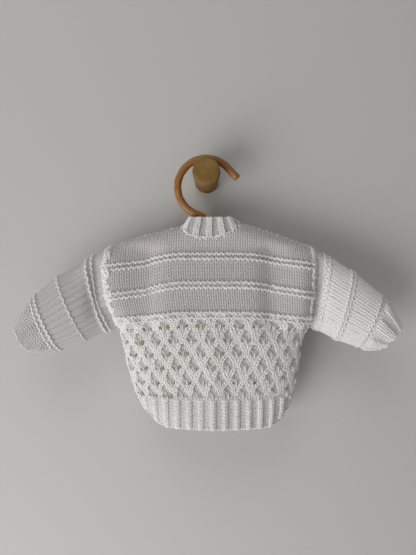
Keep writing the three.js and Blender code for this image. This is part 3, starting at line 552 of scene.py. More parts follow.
def cell(u, v):
    """How far a place lies in one of the lace's smooth ovals, which stand over the eyelet pairs."""
    sunk = np.zeros(np.broadcast(u, v).shape)
    for z, phase in zip(EYELETS["z"], EYELETS["phase"]):
        across = ((u - phase - 0.5 + 2) % 4 - 2) / 0.95
        along = (v - down(z) + 7.1) / 5.2
        sunk = np.maximum(sunk, smooth((1.2 - np.hypot(across, along)) / 0.55))
    return sunk


def cloth_rise(u, v, arc):
    """Height of the cloth over its plain face: garter ridges, lace cords and the welt's ribs."""
    z = TOP_ROW - v
    rise = np.zeros(np.broadcast(u, v).shape)
    for middle in RIDGES:
        off = np.abs(z - middle)
        rise = rise + 1.0 * smooth((5.6 - off) / 2.6) - 0.9 * smooth((1.5 - off) / 1.0)
    ribbed = smooth((-232.5 - z) / 5)
    laced = smooth((-153 - z) / 3) * (1 - ribbed)
    wave = 0.5 + 0.5 * np.cos((arc - RIB_AT) * 2 * math.pi / RIB_PITCH)
    return rise + laced * (0.7 - 1.5 * cell(u, v)) + ribbed * (RIB * 1.2 * wave ** 2 - 0.2)


def strand(path, radius, height, spokes=(-28, 31, 90, 149, 208)):
    """A short length of yarn as an open half tube. The path is (across, down, out) in mm."""
    path = np.array(path, float)
    tangent = np.gradient(path, axis=0)[:, :2]
    tangent /= np.maximum(np.linalg.norm(tangent, axis=1, keepdims=True), 1e-9)
    side = np.stack([-tangent[:, 1], tangent[:, 0]], 1)
    angles = np.radians(spokes)
    points, uv = [], []
    along = running(np.linalg.norm(np.diff(path, axis=0), axis=1))
    for i in range(len(path)):
        for k, t in enumerate(angles):
            offset = side[i] * radius[i] * math.cos(t)
            out = path[i, 2] + height[i] * math.sin(t)
            points.append([path[i, 0] + offset[0], path[i, 1] + offset[1], out])
            uv.append([along[i], k / 8])
    n = len(angles)
    faces = []
    for i in range(len(path) - 1):
        for k in range(n - 1):
            faces.append([i * n + k, (i + 1) * n + k, (i + 1) * n + k + 1, i * n + k + 1])
    return np.array(points), np.array(faces), np.array(uv)


def together(*strands):
    """Several strands as one template."""
    points, faces, uv, count = [], [], [], 0
    for p, f, t in strands:
        points.append(p)
        faces.append(f + count)
        uv.append(t)
        count += len(p)
    return np.concatenate(points), np.concatenate(faces), np.concatenate(uv)


def mirrored(strand_parts):
    p, f, t = strand_parts
    return p * [-1, 1, 1], f[:, ::-1], t


LEG = strand(
    [(0.5, 2.5, -0.2), (0.82, 1.3, 0.3), (1.2, 0.1, 0.5), (1.58, -1.1, 0.4), (1.95, -2.2, -0.2)],
    [0.7, 1.08, 1.2, 1.12, 0.75], [0.4, 0.7, 0.8, 0.75, 0.4],
)
KNIT = together(LEG, mirrored(LEG))
PURL = together(
    strand([(-1.9, 0.9, -0.3), (-1.2, -0.45, 0.4), (0, -1.0, 0.7), (1.2, -0.45, 0.4), (1.9, 0.9, -0.3)],
           [0.8, 1.0, 1.05, 1.0, 0.8], [0.4, 0.7, 0.8, 0.7, 0.4]),
    strand([(0.7, 0.1, -0.3), (1.4, 1.0, 0.35), (2.5, 1.5, 0.6), (3.6, 1.0, 0.35), (4.3, 0.1, -0.3)],
           [0.8, 0.95, 1.0, 0.95, 0.8], [0.4, 0.65, 0.75, 0.65, 0.4]),
)
ROPE = together(
    strand([(-1.7, 1.3, -0.5), (-1.15, 0.1, 0.7), (0, -0.8, 1.5), (1.15, 0.1, 0.7), (1.7, 1.3, -0.5)],
           [0.7, 1.0, 1.15, 1.0, 0.7], [0.6, 0.9, 1.0, 0.9, 0.6]),
    strand([(0.8, -1.0, -0.5), (1.4, 0.2, 0.6), (2.5, 0.95, 1.3), (3.6, 0.2, 0.6), (4.2, -1.0, -0.5)],
           [0.7, 0.95, 1.1, 0.95, 0.7], [0.6, 0.85, 1.0, 0.85, 0.6]),
)
DECREASE = strand(
    [(0, 4.6, -0.3), (0, 3.0, 0.9), (0, 0.6, 1.7), (0, -1.6, 1.3), (0, -3.2, -0.2)],
    [0.7, 1.3, 1.5, 1.3, 0.7], [0.5, 1.0, 1.1, 0.9, 0.4],
)


def lay(template, columns, rows, width=STITCH, course=COURSE, wobble=0.05, lift=0.0, relief=1.0, turn=None):
    """Copies of a template at stitch places. Returns columns, rows, heights, faces and uv."""
    points, faces, uv = template
    count = len(columns)
    if count == 0:
        return None
    scale = 1 + random.normal(0, wobble, (count, 1))
    nudge = random.normal(0, wobble * 0.6, (count, 2, 1))
    across, along = points[None, :, 0] * scale, points[None, :, 1] * scale
    if turn is not None:
        c, s = np.cos(turn)[:, None], np.sin(turn)[:, None]
        across, along = across * c + along * s, along * c - across * s
    u = columns[:, None] + across / width + nudge[:, 0]
    v = rows[:, None] + (along + nudge[:, 1]) * course / COURSE
    n = lift + points[None, :, 2] * relief * (1 + random.normal(0, wobble, (count, 1)))
    all_faces = (faces[None] + (np.arange(count) * len(points))[:, None, None]).reshape(-1, 4)
    yarn = np.tile(uv, (count, 1))
    yarn[:, 0] += np.repeat(random.uniform(0, 9, count), len(points))
    return u.ravel(), v.ravel(), n.ravel(), all_faces, yarn


CORD = {"t": [0, 0.25, 0.5, 0.75, 1], "off": [0.4, 0.95, 1.35, 1.65, 1.9]}


def cords(stitches):
    """Stitches of the lace that run slantwise, down both sides of each smooth oval."""
    places = np.arange(0.06, 1.0, 0.2)
    slopes = (np.interp(places + 0.1, CORD["t"], CORD["off"])
              - np.interp(places - 0.1, CORD["t"], CORD["off"]))
    parts = []
    starts = [EYELETS["z"][0] + 13] + EYELETS["z"][:-1]
    for start, end, phase in zip(starts, EYELETS["z"], EYELETS["phase"]):
        for centre in np.arange((phase + 0.5) % 4 - 4, stitches + 4, 4):
            for way in (-1, 1):
                off = np.interp(places, CORD["t"], CORD["off"])
                u = centre + way * off
                v = mix(down(start), down(end), places)
                turn = way * np.arctan2(slopes * STITCH, 0.2 * (start - end))
                keep = (u > 0.5) & (u < stitches - 0.5)
                parts.append(lay(KNIT, u[keep], v[keep], wobble=0.16, lift=0.6, relief=0.8, turn=turn[keep]))
    return parts


def join(parts):
    parts = [p for p in parts if p is not None]
    out, count = [[], [], [], [], []], 0
    for u, v, n, f, t in parts:
        for k, value in enumerate((u, v, n, f + count, t)):
            out[k].append(value)
        count += len(u)
    return [np.concatenate(values) for values in out]


def ply_group():
    """Yarn surface: twisted plies along the strand and loose fibres, from colour to normal, with shade
    painted darker in the grooves between the plies.
    """
    group = bpy.data.node_groups.new("twisted_yarn", "ShaderNodeTree")
    face = group.interface
    for name, kind, default in (("Colour", "NodeSocketColor", (0.8, 0.79, 0.78, 1)),
                                ("Shade", "NodeSocketFloat", 0.12), ("Plies", "NodeSocketFloat", 0.5)):
        socket = face.new_socket(name, in_out="INPUT", socket_type=kind)
        socket.default_value = default
    face.new_socket("Colour", in_out="OUTPUT", socket_type="NodeSocketColor")
    face.new_socket("Normal", in_out="OUTPUT", socket_type="NodeSocketVector")
    nodes, links = group.nodes, group.links
    source, sink = nodes.new("NodeGroupInput"), nodes.new("NodeGroupOutput")

    def maths(kind, a, b=None):
        node = nodes.new("ShaderNodeMath")
        node.operation = kind
        for k, value in enumerate((a, b)):
            if value is None:
                continue
            if isinstance(value, (int, float)):
                node.inputs[k].default_value = value
            else:
                links.new(value, node.inputs[k])
        return node.outputs[0]

    coords = nodes.new("ShaderNodeTexCoord")
    split = nodes.new("ShaderNodeSeparateXYZ")
    links.new(coords.outputs["UV"], split.inputs[0])
    lengthwise = maths("MULTIPLY", split.outputs["X"], 3.9)
    turn = maths("ADD", lengthwise, maths("MULTIPLY", split.outputs["Y"], 12.6))
    ply = maths("ABSOLUTE", maths("SINE", turn))
    twist = maths("MULTIPLY", ply, source.outputs["Plies"])
    fibres = maths("MULTIPLY", noise(group, 2600, 3), 0.6)
    bump(group, sink, maths("ADD", twist, fibres), 0.3, 0.0003)
    grey = maths("MULTIPLY", maths("SUBTRACT", 1.0, noise(group, 26, 5)), source.outputs["Shade"])
    # Painted shade: the colour is made darker in the grooves between the plies; the grey before it is a
    # random mottle.
    groove = maths("MULTIPLY", source.outputs["Plies"], 0.12)
    groove_shade = maths("MULTIPLY", maths("SUBTRACT", 1.0, ply), groove)
    darker = nodes.new("ShaderNodeMix")
    darker.data_type = "RGBA"
    darker.blend_type = "MULTIPLY"
    colour_in = [s for s in darker.inputs if s.type == "RGBA"]
    colour_in[1].default_value = (0.5, 0.48, 0.46, 1)
    links.new(source.outputs["Colour"], colour_in[0])
    links.new(maths("ADD", grey, groove_shade), darker.inputs["Factor"])
    links.new([s for s in darker.outputs if s.type == "RGBA"][0], sink.inputs["Colour"])
    return group


YARN = ply_group()


def wool_material(name, colour, shade, plies):
    made, tree, shader = material(name, colour, 0.95)
    shader.inputs["Sheen Weight"].default_value = 0.35
    shader.inputs["Sheen Roughness"].default_value = 0.5
    shader.inputs["Specular IOR Level"].default_value = 0.15
    group = tree.nodes.new("ShaderNodeGroup")
    group.node_tree = YARN
    group.inputs["Colour"].default_value = (*colour, 1)
    group.inputs["Shade"].default_value = shade
    group.inputs["Plies"].default_value = plies
    tree.links.new(group.outputs["Colour"], shader.inputs["Base Color"])
    tree.links.new(group.outputs["Normal"], shader.inputs["Normal"])
    return made


wool = wool_material("white_wool", (0.93, 0.92, 0.915), 0.06, 0.35)
# Painted shade: the same white wool made a little darker, for the lace stitches and the welt's valleys, as
# the shade of their hollows.
wool_lace_shaded = wool_material("white_wool_lace_shaded", (0.82, 0.8, 0.79), 0.08, 0.35)
# Painted shade: the same white wool made darker, for the flat yoke, the sleeves' starts in the armhole
# grooves and the neckband's rib valleys.
wool_shaded = wool_material("white_wool_shaded", (0.67, 0.64, 0.63), 0.1, 0.35)
# Painted shade: the same white wool made darker for the left sleeve, which is turned away from the light.
wool_sleeve_shaded = wool_material("white_wool_sleeve_shaded", (0.66, 0.65, 0.63), 0.08, 0.2)
# Painted shade: the cloth under the stitches is the wool made darker, as shade in the gaps between stitches.
ground = wool_material("wool_ground_shaded", (0.7, 0.67, 0.655), 0.12, 0.0)
tree = ground.node_tree
shader = tree.nodes["Principled BSDF"]
# Painted light: the cloth's inner faces glow a warm tan of their own, standing in for light that shines
# through the wool, so the eyelets look lit inside.
shader.inputs["Emission Color"].default_value = (0.3, 0.24, 0.175, 1)
facing = tree.nodes.new("ShaderNodeNewGeometry")
painted_glow = tree.nodes.new("ShaderNodeMath")
painted_glow.operation = "MULTIPLY"
painted_glow.inputs[1].default_value = 0.3
tree.links.new(facing.outputs["Backfacing"], painted_glow.inputs[0])
tree.links.new(painted_glow.outputs[0], shader.inputs["Emission Strength"])


def grid_faces(rows, columns):
    """Quads of a grid of points that are counted row by row."""
    a = (np.arange(rows - 1)[:, None] * columns + np.arange(columns - 1)[None]).ravel()
    return np.stack([a, a + columns, a + columns + 1, a + 1], 1)


def shell_grid(skin, stitches, climb, rows, holes, sink=0.1):
    """The thin cloth under the stitches: its points and faces, with the eyelets cut out."""
    columns = stitches * 4
    u0 = np.linspace(0, stitches, columns + 1)
    ups = 1 - np.linspace(1, 0, 13)[:-1] ** 2
    lines_u, lines_v = [], []
    for up in ups[::-1]:
        lines_u.append(u0)
        lines_v.append(-climb * up)
    for v in rows:
        lines_u.append(u0)
        lines_v.append(np.full(columns + 1, v))
    u, v = np.array(lines_u).ravel(), np.array(lines_v).ravel()
    u, v = wander(u, v)
    faces = grid_faces(len(lines_v), columns + 1)
    rise = cloth_rise(u, v, skin.length(u, v)) - sink
    u, v, faces = open_holes(u, v, holes, faces)
    return skin.at(u, v, rise), faces


def oriented(skin, faces):
    return faces if skin.flip else faces[:, ::-1]


LACE_TOP = down(-154.5)
LACE_FOOT = down(-236)
HEM_ROW = down(HEM)
SHELL_ROWS = np.concatenate([
    np.arange(0, LACE_TOP, 2.2), np.arange(LACE_TOP, LACE_FOOT, 1.15),
    np.arange(LACE_FOOT, HEM_ROW - 3, 2.2), [HEM_ROW - 0.4],
])


def courses():
    """Rows of stitches from the top down, as (row coordinate, kind)."""
    out = []
    for k in range(9):
        out.append((-1.2 - COURSE * k, "knit"))
    for middle in RIDGES:
        out += [(down(middle + RIDGE_ROW), "ridge"), (down(middle - RIDGE_ROW), "ridge")]
    for start, end, count in ((-92.2, -113.3, 6), (-121.9, -144.9, 7)):
        step = (end - start) / count
        out += [(down(start + step * (k + 0.5)), "knit") for k in range(count)]
    lace_rows = np.linspace(down(-154), down(-233.2), 24)
    out += [(v + 1.7, "lace") for v in lace_rows[:-1]]
    welt = np.linspace(down(-233.2), down(-263.6), 10)
    out += [(v + 1.65, "rib") for v in welt[:-1]]
    return out


def welt_stitches(skin, rows, template, offsets, relief):
    """Columns of the welt at offsets from the crests of its ribs."""
    parts = []
    for v in rows:
        ends = skin.length(np.array([0.0, skin.columns[-1]]), np.array([v, v]))
        first = np.ceil((ends[0] + 2 - RIB_AT) / RIB_PITCH)
        last = np.floor((ends[1] - 2 - RIB_AT) / RIB_PITCH)
        crests = RIB_AT + RIB_PITCH * np.arange(first, last + 1)
        places = (crests[:, None] + np.array(offsets)).ravel()
        places = places[(places > ends[0] + 1.5) & (places < ends[1] - 1.5)]
        parts.append(lay(template, places, np.full(len(places), v), width=1.9, relief=relief))
    arc, v, n, f, t = join(parts)
    return skin.column(arc, v), v, n, f, t


def seam_stitches(climb, stitches):
    """Sewn edges of the back: uneven bright stitches down the armholes and along the top."""
    rows = np.arange(-climb[0] + 1.5, down(-158), 3.0)
    parts = []
    for u in (0.3, 1.0, stitches - 0.4):
        tilt = random.normal(0, 0.5, len(rows))
        columns = u + random.normal(0, 0.12, len(rows))
        parts.append(lay(KNIT, columns, rows, wobble=0.3, lift=0.3, relief=1.2, turn=tilt))
    top = np.arange(0.4, stitches, 0.62)
    reach = np.interp(top * 4, np.arange(len(climb)), climb)
    tilt = random.normal(1.2, 0.4, len(top))
    parts.append(lay(LEG, top, 1.0 - reach, wobble=0.25, lift=0.3, turn=tilt))
    return parts


def knit_panel(name, skin, climb, stitches, holes, node):
    """The cloth of one panel with its stitches, as a thin sheet and the yarn on it."""
    points, faces = shell_grid(skin, stitches, climb, SHELL_ROWS, holes)
    shell = piece(name + "_cloth", points, oriented(skin, faces), ground)
    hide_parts(node)
    yoke, ridge, lace, welt = [], [], [], []
    every = np.arange(stitches) + 0.5
    edge = (every < 1) | (every > stitches - 1)
    for v, kind in courses():
        row = np.full(stitches, v)
        if kind == "ridge":
            ridge.append(lay(ROPE, every, row, wobble=0.14, relief=0.62))
        elif kind == "rib":
            welt.append(v)
        elif kind == "lace":
            lace.append(lay(KNIT, every, row, wobble=0.07, relief=0.45))
        else:
            reach = np.interp(every * 4, np.arange(len(climb)), climb)
            keep = -v < reach - 0.9
            yoke.append(lay(KNIT, every[keep & ~edge], row[keep & ~edge], relief=0.35))
            ridge.append(lay(KNIT, every[keep & edge], row[keep & edge], wobble=0.12, lift=0.3))
    for middle in RIDGES:
        yoke.append(lay(KNIT, every, np.full(stitches, down(middle)), relief=0.15))
    for z, phase in zip(EYELETS["z"], EYELETS["phase"]):
        middles = np.arange((phase + 0.5) % 4, stitches, 4)
        middles = middles[(middles > 1) & (middles < stitches - 1)]
        lace.append(lay(DECREASE, middles, np.full(len(middles), down(z)), wobble=0.12, relief=0.8))
    raised = cords(stitches) + [lay(ROPE, every, np.full(stitches, HEM_ROW - 1.2), relief=0.4)]
    raised.append(welt_stitches(skin, welt, KNIT, (-1.35, 1.35), 0.9))
    lace.append(welt_stitches(skin, welt, PURL, (-3.7, 3.7, 6.1), 0.25))
    if name == "back":
        ridge += seam_stitches(climb, stitches)
    made = []
    # Painted shade: yoke stitches take the wool made darker and lace stitches a little darker; ridges and
    # raised stitches take the plain white wool.
    for part, laid, yarn in (("yoke", yoke, wool_shaded), ("ridge", ridge, wool),
                             ("lace", lace, wool_lace_shaded), ("raised", raised, wool)):
        u, v, n, f, t = join(laid)
        cloth = cloth_rise(u, v, skin.length(u, v))
        if part == "lace":
            n = n * (1 - 0.5 * cell(u, v))
        if part == "raised":
            cloth = cloth * (v > down(EYELETS["z"][-1]))
        rise = n + cloth
        if part != "raised":
            u, v = wander(u, v)
        if part == "lace":
            u, v, f = open_holes(u, v, holes, f)
        points = skin.at(u, v, rise)
        made.append(piece(f"{name}_{part}_stitches", points, oriented(skin, f), yarn, t))
    return shell, made


BACK_STITCHES = 46
back_skin, back_climb = body_skin("back", BACK_STITCHES, lambda base: (-side_turn(base), side_turn(base)))
back_skin.from_middle(4.9)
back_holes = hole_places(BACK_STITCHES)
back, back_yarn = knit_panel("back", back_skin, back_climb, BACK_STITCHES, back_holes, "back")

# Fronts: two panels of the same knitting as the back, with the same ridges, lace and welt. Each
# runs from its front band round to the side seam, and joins the back there and at the shoulder.
MIDDLE = (EDGES["left"][0] + EDGES["right"][0]) / 2


def half_width(base):
    left, right = (edge_x(side, base - droop(side, base)) for side in ("left", "right"))
    return (right - left) / 2


def front_reach(sign, edge):
    return lambda base: (math.asin(edge / half_width(base)), sign * (math.pi - side_turn(base)))


FRONT_STITCHES = 20
FRONT_EDGES = {"left": -13.3, "right": 15.3}
for side, sign in (("left", -1), ("right", 1)):
    skin, climb = body_skin("front", FRONT_STITCHES, front_reach(sign, FRONT_EDGES[side]))
    holes = hole_places(FRONT_STITCHES, 0.75)
    front, front_yarn = knit_panel(side + "_front", skin, climb, FRONT_STITCHES, holes, side + "_front")

# Front bands: two ribbed strips knitted up along the fronts. The right one, with the buttonholes,
# lies over the left one, and both run from the hem to the neckband.
BAND_STEP = 2.1
BAND_STITCHES = 6
for name, low, high, lift, node in (("under_band", -13, 11, 0, "button_band"),
                                    ("over_band", -11, 15, BAND_STEP, "buttonhole_band")):
    def band_reach(base, low=low, high=high):
        return math.asin(low / half_width(base)), math.asin(high / half_width(base))

    skin, climb = body_skin("front", BAND_STITCHES, band_reach)
    skin.points[..., 1] += lift
    every = np.arange(BAND_STITCHES) + 0.5
    across = np.linspace(0, BAND_STITCHES, 13)
    above = -climb[::2][None] * np.linspace(1, 0.17, 6)[:, None]
    rows = np.concatenate([np.arange(0, 178, 3.0), [179.2]])
    u = np.tile(across, (len(above) + len(rows), 1))
    v = np.concatenate([above, np.tile(rows[:, None], (1, len(across)))])
    faces = grid_faces(*u.shape)
    points = skin.at(u.ravel(), v.ravel(), np.full(u.size, -0.5))
    shell = piece(name + "_cloth", points, oriented(skin, faces), ground)
    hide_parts(node)
    parts = []
    for v in np.arange(-30, 177.5, COURSE):
        keep = v > -np.interp(every * 4, np.arange(len(climb)), climb) + 1
        parts.append(lay(KNIT, every[keep], np.full(keep.sum(), v), course=COURSE))
    u, v, n, f, t = join(parts)
    points = skin.at(u, v, n + 0.5 * np.cos((u - 0.5) * math.pi))
    yarn = piece(name + "_stitches", points, oriented(skin, f), wool, t)

# Buttons: five round white shell buttons with a raised rim and four holes, sewn down the upper
# band with white thread.
pearl, tree, shader = material("shell_button", (0.78, 0.74, 0.66), 0.25, Coat_Weight=0.4)
clouds = noise(tree, 140, 3, (1, 1, 2.5))
shell_colour = ramp(tree, clouds, [(0.35, (0.7, 0.66, 0.58)), (0.6, (0.82, 0.79, 0.73))])
tree.links.new(shell_colour, shader.inputs["Base Color"])
bump(tree, shader, noise(tree, 500, 2), 0.1, 0.0002)
thread = wool_material("sewing_thread", (0.8, 0.79, 0.76), 0.1, 0.3)
for index in range(5):
    z = -92 - 38 * index
    x = (edge_x("left", z) + edge_x("right", z)) / 2
    seat = HANG_Y + 0.15 + depth_at(z - 6) * 0.8 + BAND_STEP + 0.5
    rows = [(5.3, 0), (6, 0.8), (6, 1.7), (5.6, 2.3), (4.9, 2.4), (4.3, 1.9), (3.6, 1.7), (0.3, 1.7)]
    points, faces = lathe(rows, 48, (x, seat, z))
    made = piece(f"shell_button_{index + 1}", points, [tuple(reversed(f)) for f in faces], pearl)
    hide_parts(f"button_{index + 1}")
    points, faces = [], []
    for way in (-1, 1):
        for i in range(9):
            t = i / 8
            for k in range(6):
                a = 2 * math.pi * k / 6
                y = seat + 1.6 + 0.9 * math.sin(math.pi * t) + 0.3 * math.sin(a)
                points.append((x + (t - 0.5) * 3, y, z + way * (t - 0.5) * 3 + 0.35 * math.cos(a)))
        start = 0 if way < 0 else 54
        for i in range(8):
            for k in range(6):
                a, n = start + i * 6, (k + 1) % 6
                faces.append((a + k, a + 6 + k, a + 6 + n, a + n))
    piece(f"button_thread_{index + 1}", points, faces, thread)

# Sleeves: two tubes knitted from the cuff to the armhole and sewn in, with garter ridges round
# them and a ribbed cuff. Each hangs in its own soft folds, a little flattened.
SLEEVES = {
    "left": {
        "at": [0, 0.2, 0.45, 0.7, 0.83, 1],
        "top_x": [-107.5, -132.2, -160.6, -182.2, -191, -199.7],
        "top_z": [-79, -94.7, -110.5, -131, -146, -162.8],
        "foot_x": [-93.8, -111.1, -128.5, -156.8, -171.1, -185.2],
        "foot_z": [-163, -168.5, -177.2, -187, -187.8, -186.5],
        "depth": [13.5, 15, 16, 16, 13.5, 10.5],
        "swing": [0, 3.5, 8.5, 11.5, 12.5, 13],
    },
    "right": {
        "at": [0, 0.2, 0.45, 0.7, 0.83, 1],
        "top_x": [114, 135.5, 157, 185, 193.5, 202.4],
        "top_z": [-79, -90.2, -105.1, -129, -144, -161.1],
        "foot_x": [107.4, 121.1, 137.9, 159.4, 171.2, 182.3],
        "foot_z": [-163, -167.5, -176.2, -183.3, -183.9, -182.8],
        "depth": [13.5, 15, 16, 16, 13.5, 10.5],
        "swing": [0, 3.5, 8.5, 11.5, 12.5, 13],
    },
}
SLEEVE_LENGTH = 130
SLEEVE_STITCHES = 32
SLEEVE_RIDGES = {
    "left": [(0.103, 1.0), (0.153, 1.0), (0.425, 0.35), (0.665, 0.5), (0.71, 0.4)],
    "right": [(0.103, 0.4), (0.153, 0.4), (0.407, 0.5), (0.443, 0.5), (0.68, 0.3)],
}


def sleeve_skin(side):
    table = SLEEVES[side]
    at = np.linspace(0, 1, SLEEVE_LENGTH + 1)[:, None]
    angle = np.linspace(0, 2 * math.pi, SLEEVE_STITCHES * 4 + 1)[None]
    get = {key: np.interp(at, table["at"], table[key]) for key in table if key != "at"}
    share = np.where(np.sin(angle) >= -1e-9, 1.0, 0.8)
    high = (1 + np.cos(angle)) / 2
    x = mix(get["foot_x"], get["top_x"], high)
    z = mix(get["foot_z"], get["top_z"], high)
    y = HANG_Y - get["swing"] - get["depth"] * share * np.sin(angle)
    seam_z = -121 + 42 * np.cos(angle)
    seam_x = edge_x(side, seam_z)
    seam_depth = SEAM_DEPTH * share * armhole(seam_z) * closing(seam_x, seam_z)
    seam_y = HANG_Y - np.sign(np.sin(angle)) * seam_depth
    first = {key: table[key][0] for key in table}
    off = 1 - smooth(at / 0.33)
    outside = 0.45 if side == "right" else -0.45
    x = x + off * (seam_x - mix(first["foot_x"], first["top_x"], high) + outside)
    y = y + off * (seam_y - (HANG_Y - first["depth"] * share * np.sin(angle)))
    y = y - fold(x, z) * np.abs(np.sin(angle)) * (share == 1)
    points = np.stack([x, y, z], -1)

    def outward(grid):
        return grid - grid[:, :-1].mean(axis=1, keepdims=True)

    return Skin(points, 4, outward, 0, True)


CUFF_RIB = {"left": 0.8, "right": 2.0}


def sleeve_rise(side, u, v):
    at = v / SLEEVE_LENGTH
    rise = np.zeros(np.broadcast(u, v).shape)
    for row, size in SLEEVE_RIDGES[side]:
        rise = rise + size * smooth((0.024 - np.abs(at - row)) / 0.02)
    wave = 0.5 + 0.5 * np.cos(u * math.pi / 2)
    return rise + smooth((at - 0.73) / 0.04) * (CUFF_RIB[side] * smooth(wave * 1.25) - 0.2)


SLEEVE_COURSES = 37
PLAIN_RELIEF = {"left": 0.08, "right": 0.1}
for side in ("left", "right"):
    skin = sleeve_skin(side)
    across = np.linspace(0, SLEEVE_STITCHES, SLEEVE_STITCHES * 2 + 1)
    u, v = np.meshgrid(across, np.arange(0, SLEEVE_LENGTH + 0.1, 2))
    n = len(across)
    faces = grid_faces(*u.shape)
    last = faces[:, 0] % n == n - 2
    faces[last, 2:] -= n - 1
    points = skin.at(u.ravel(), v.ravel(), sleeve_rise(side, u, v).ravel() - 0.05)
    shell = piece(side + "_sleeve_cloth", points, oriented(skin, faces), ground)
    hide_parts(side + "_sleeve")
    every = np.arange(SLEEVE_STITCHES) + 0.5
    plain, ridge, start = [], [], []
    step = SLEEVE_LENGTH / SLEEVE_COURSES
    for k in range(SLEEVE_COURSES):
        v = (k + 0.5) * step
        at = v / SLEEVE_LENGTH
        row = np.full(SLEEVE_STITCHES, v)
        if min(abs(at - r) for r, _ in SLEEVE_RIDGES[side]) < 0.014:
            continue
        if at > 0.74:
            crest = np.abs((every + 2) % 4 - 2) < 1.01
            plain.append(lay(KNIT, every[crest], row[crest], course=step))
            plain.append(lay(PURL, every[~crest], row[~crest], course=step, relief=0.4))
        else:
            laid = lay(KNIT, every, row, course=step, relief=PLAIN_RELIEF[side])
            (start if at < 0.09 else plain).append(laid)
    for at, size in SLEEVE_RIDGES[side]:
        row = np.full(SLEEVE_STITCHES, at * SLEEVE_LENGTH)
        ridge.append(lay(ROPE, every, row, wobble=0.12, relief=0.1 + 0.65 * size))
    edging = np.full(SLEEVE_STITCHES, 0.985 * SLEEVE_LENGTH)
    ridge.append(lay(ROPE, every, edging, wobble=0.15, relief=0.5))
    # Painted shade: the left sleeve's plain stitches take the wool made darker, and both sleeves' starts take
    # the darker wool as shade in the armhole groove.
    plain_wool = wool_sleeve_shaded if side == "left" else wool
    for part, laid, yarn in (("start", start, wool_shaded), ("plain", plain, plain_wool),
                             ("ridge", ridge, wool)):
        u, v, n, f, t = join(laid)
        points = skin.at(u, v, n + sleeve_rise(side, u, v))
        piece(f"{side}_sleeve_{part}_stitches", points, oriented(skin, f), yarn, t)

# Neckband: a ribbed strip picked up round the neck and knitted upwards, with its ends on the
# front bands. It stands up and narrows a little, so its ribs lean in towards the top.
def neck_foot():
    """The line that the neckband stands on, from the lower band's end round to the upper one's."""
    def run(face, xs, lift=0.0):
        turn = np.arcsin((np.asarray(xs) - MIDDLE) / half_width(-68))
        p = body_points(face, turn, TOP_ROW, 1.0)
        p[:, 1] += lift
        return p

    half, middle = (NECK["right"] - NECK["left"]) / 2, (NECK["right"] + NECK["left"]) / 2
    left_start = math.acos((MIDDLE + FRONT_EDGES["left"] - middle) / half)
    right_end = math.acos((MIDDLE + FRONT_EDGES["right"] - middle) / half)
    return np.concatenate([
        run("front", np.linspace(MIDDLE + 11, MIDDLE - 13, 10)),
        run("front", middle + half * np.cos(np.linspace(left_start, math.pi, 16)))[:-1],
        run("back", middle + half * np.cos(np.linspace(math.pi, 0, 60))),
        run("front", middle + half * np.cos(np.linspace(0, right_end, 16)))[1:],
        run("front", np.linspace(MIDDLE + 15, MIDDLE - 11, 10), BAND_STEP),
    ])


foot = neck_foot()
length = running(np.linalg.norm(np.diff(foot, axis=0), axis=1))
NECK_TOP = -46.4
NECK_STITCHES = int(round(length[-1] / 3.7))
places = np.linspace(0, length[-1], NECK_STITCHES * 4 + 1)
foot = np.stack([np.interp(places, length, foot[:, k]) for k in range(3)], -1)
front_top = mix(NECK_TOP, np.minimum(NECK_TOP, foot[:, 2] + 16), smooth((foot[:, 1] - HANG_Y) / 8))
top_z = np.where(foot[:, 1] < HANG_Y, NECK_TOP, front_top)
lean = mix(0.66, 0.74, smooth(np.abs(foot[:, 1] - HANG_Y) / 10))
crown = np.stack([6 + (foot[:, 0] - 6) * lean, foot[:, 1], top_z], -1)
NECK_ROWS = 22
share = np.linspace(0, 1, NECK_ROWS + 1)[:, None, None]
grid = crown[None] * (1 - share) + foot[None] * share


def neck_outward(points):
    out = points - np.array([4.0, HANG_Y, 0])
    out[..., 2] = 0
    return out


neck_skin = Skin(grid, 4, neck_outward, 0)
back_middle = np.argmin(np.where(foot[:, 1] < HANG_Y - 5, np.abs(foot[:, 0] - 2.5), 1e9)) / 4


def neck_rise(u):
    wave = 0.5 + 0.5 * np.cos((u - back_middle) * math.pi / 2)
    return RIB * smooth(wave * 1.25) - 0.2


across = np.linspace(0, NECK_STITCHES, NECK_STITCHES * 2 + 1)
u, v = np.meshgrid(across, np.linspace(0, NECK_ROWS, 12))
faces = grid_faces(*u.shape)
points = neck_skin.at(u.ravel(), v.ravel(), neck_rise(u).ravel() - 0.5)
neck_shell = piece("neckband_cloth", points, oriented(neck_skin, faces), ground)
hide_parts("neckband")
every = (np.floor(back_middle) - back_middle) % 1 + np.arange(NECK_STITCHES)
every = every[(every > 0.4) & (every < NECK_STITCHES - 0.4)]
if abs((every[0] - back_middle) % 1) < 0.01:
    every = every + 0.5
every = every[every < NECK_STITCHES - 0.3]
crest = np.abs((every - back_middle + 2) % 4 - 2) < 1.01
crests, valleys = [], []
NECK_COURSE = NECK_ROWS / 7
for k in range(7):
    row = np.full(len(every), (k + 0.5) * NECK_ROWS / 7)
    crests.append(lay(KNIT, every[crest], row[crest], course=NECK_COURSE, relief=0.6))
    valleys.append(lay(PURL, every[~crest], row[~crest], course=NECK_COURSE, relief=0.2))
crests.append(lay(ROPE, every, np.full(len(every), NECK_ROWS - 0.8), wobble=0.2, relief=0.6))
# Painted shade: the rib valleys take the wool made darker, as shade between the ribs.
for part, laid, yarn in (("crests", crests, wool), ("valleys", valleys, wool_shaded)):
    u, v, n, f, t = join(laid)
    points = neck_skin.at(u, v, n + neck_rise(u))
    piece("neckband_" + part, points, oriented(neck_skin, f), yarn, t)

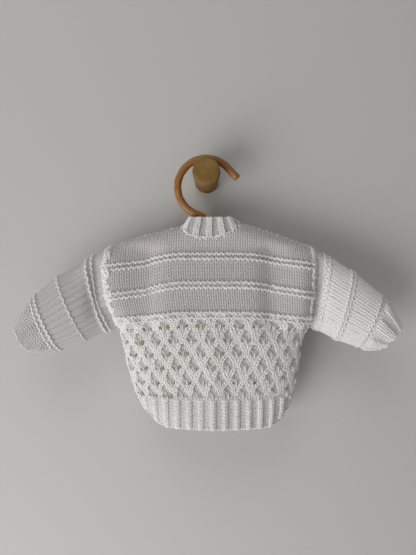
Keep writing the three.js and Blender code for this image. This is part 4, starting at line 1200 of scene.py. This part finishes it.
# Backdrop: a smooth wall painted in a pale warm grey. Soft daylight comes from low at the left,
# with weaker light from the floor and from the ceiling. The camera looks straight at the wall.
mesh = bpy.data.meshes.new("wall")
mesh.from_pydata([(-2, 0, -2), (2, 0, -2), (2, 0, 2), (-2, 0, 2)], [], [(0, 1, 2, 3)])
wall = bpy.data.objects.new("wall", mesh)
bpy.context.scene.collection.objects.link(wall)
paint, tree, shader = material("wall_paint", (0.635, 0.632, 0.61), 0.9)
bump(tree, shader, noise(tree, 260, 5), 0.12, 0.0006)
mesh.materials.append(paint)


def lamp(name, place, aim, size, power, colour=(1, 1, 1)):
    data = bpy.data.lights.new(name, "AREA")
    data.shape = "RECTANGLE"
    data.size, data.size_y = size
    data.energy = power
    data.color = colour
    made = bpy.data.objects.new(name, data)
    bpy.context.scene.collection.objects.link(made)
    made.location = place
    way = np.array(aim, float) - np.array(place, float)
    flat = math.hypot(way[0], way[1])
    made.rotation_euler = (math.atan2(flat, -way[2]), 0, math.atan2(way[1], way[0]) - math.pi / 2)
    return made


lamp("window", (-1.3, -1.1, -1.1), (0.05, 0, -0.3), (1.3, 1.3), 21.5, (1, 0.99, 0.98))
lamp("floor_light", (-0.45, -0.6, -1.05), (-0.05, 0, -0.5), (0.9, 0.6), 2.1, (0.98, 0.99, 1))
lamp("ceiling", (-0.3, -0.9, 1.1), (0, 0, -0.2), (1.0, 0.8), 4, (1, 0.99, 0.97))
world = bpy.context.scene.world or bpy.data.worlds.new("room")
bpy.context.scene.world = world
world.use_nodes = True
world.node_tree.nodes["Background"].inputs["Color"].default_value = (0.8, 0.79, 0.77, 1)
world.node_tree.nodes["Background"].inputs["Strength"].default_value = 0.26

camera_data = bpy.data.cameras.new("camera")
camera_data.sensor_fit = "HORIZONTAL"
camera_data.sensor_width = 36
camera_data.lens = 36 * 417 / 416
camera = bpy.data.objects.new("camera", camera_data)
bpy.context.scene.collection.objects.link(camera)
camera.location = (0.0017, -0.480, -0.110)
camera.rotation_euler = (math.pi / 2, 0, 0)
bpy.context.scene.camera = camera
bpy.context.scene.view_settings.view_transform = "Standard"
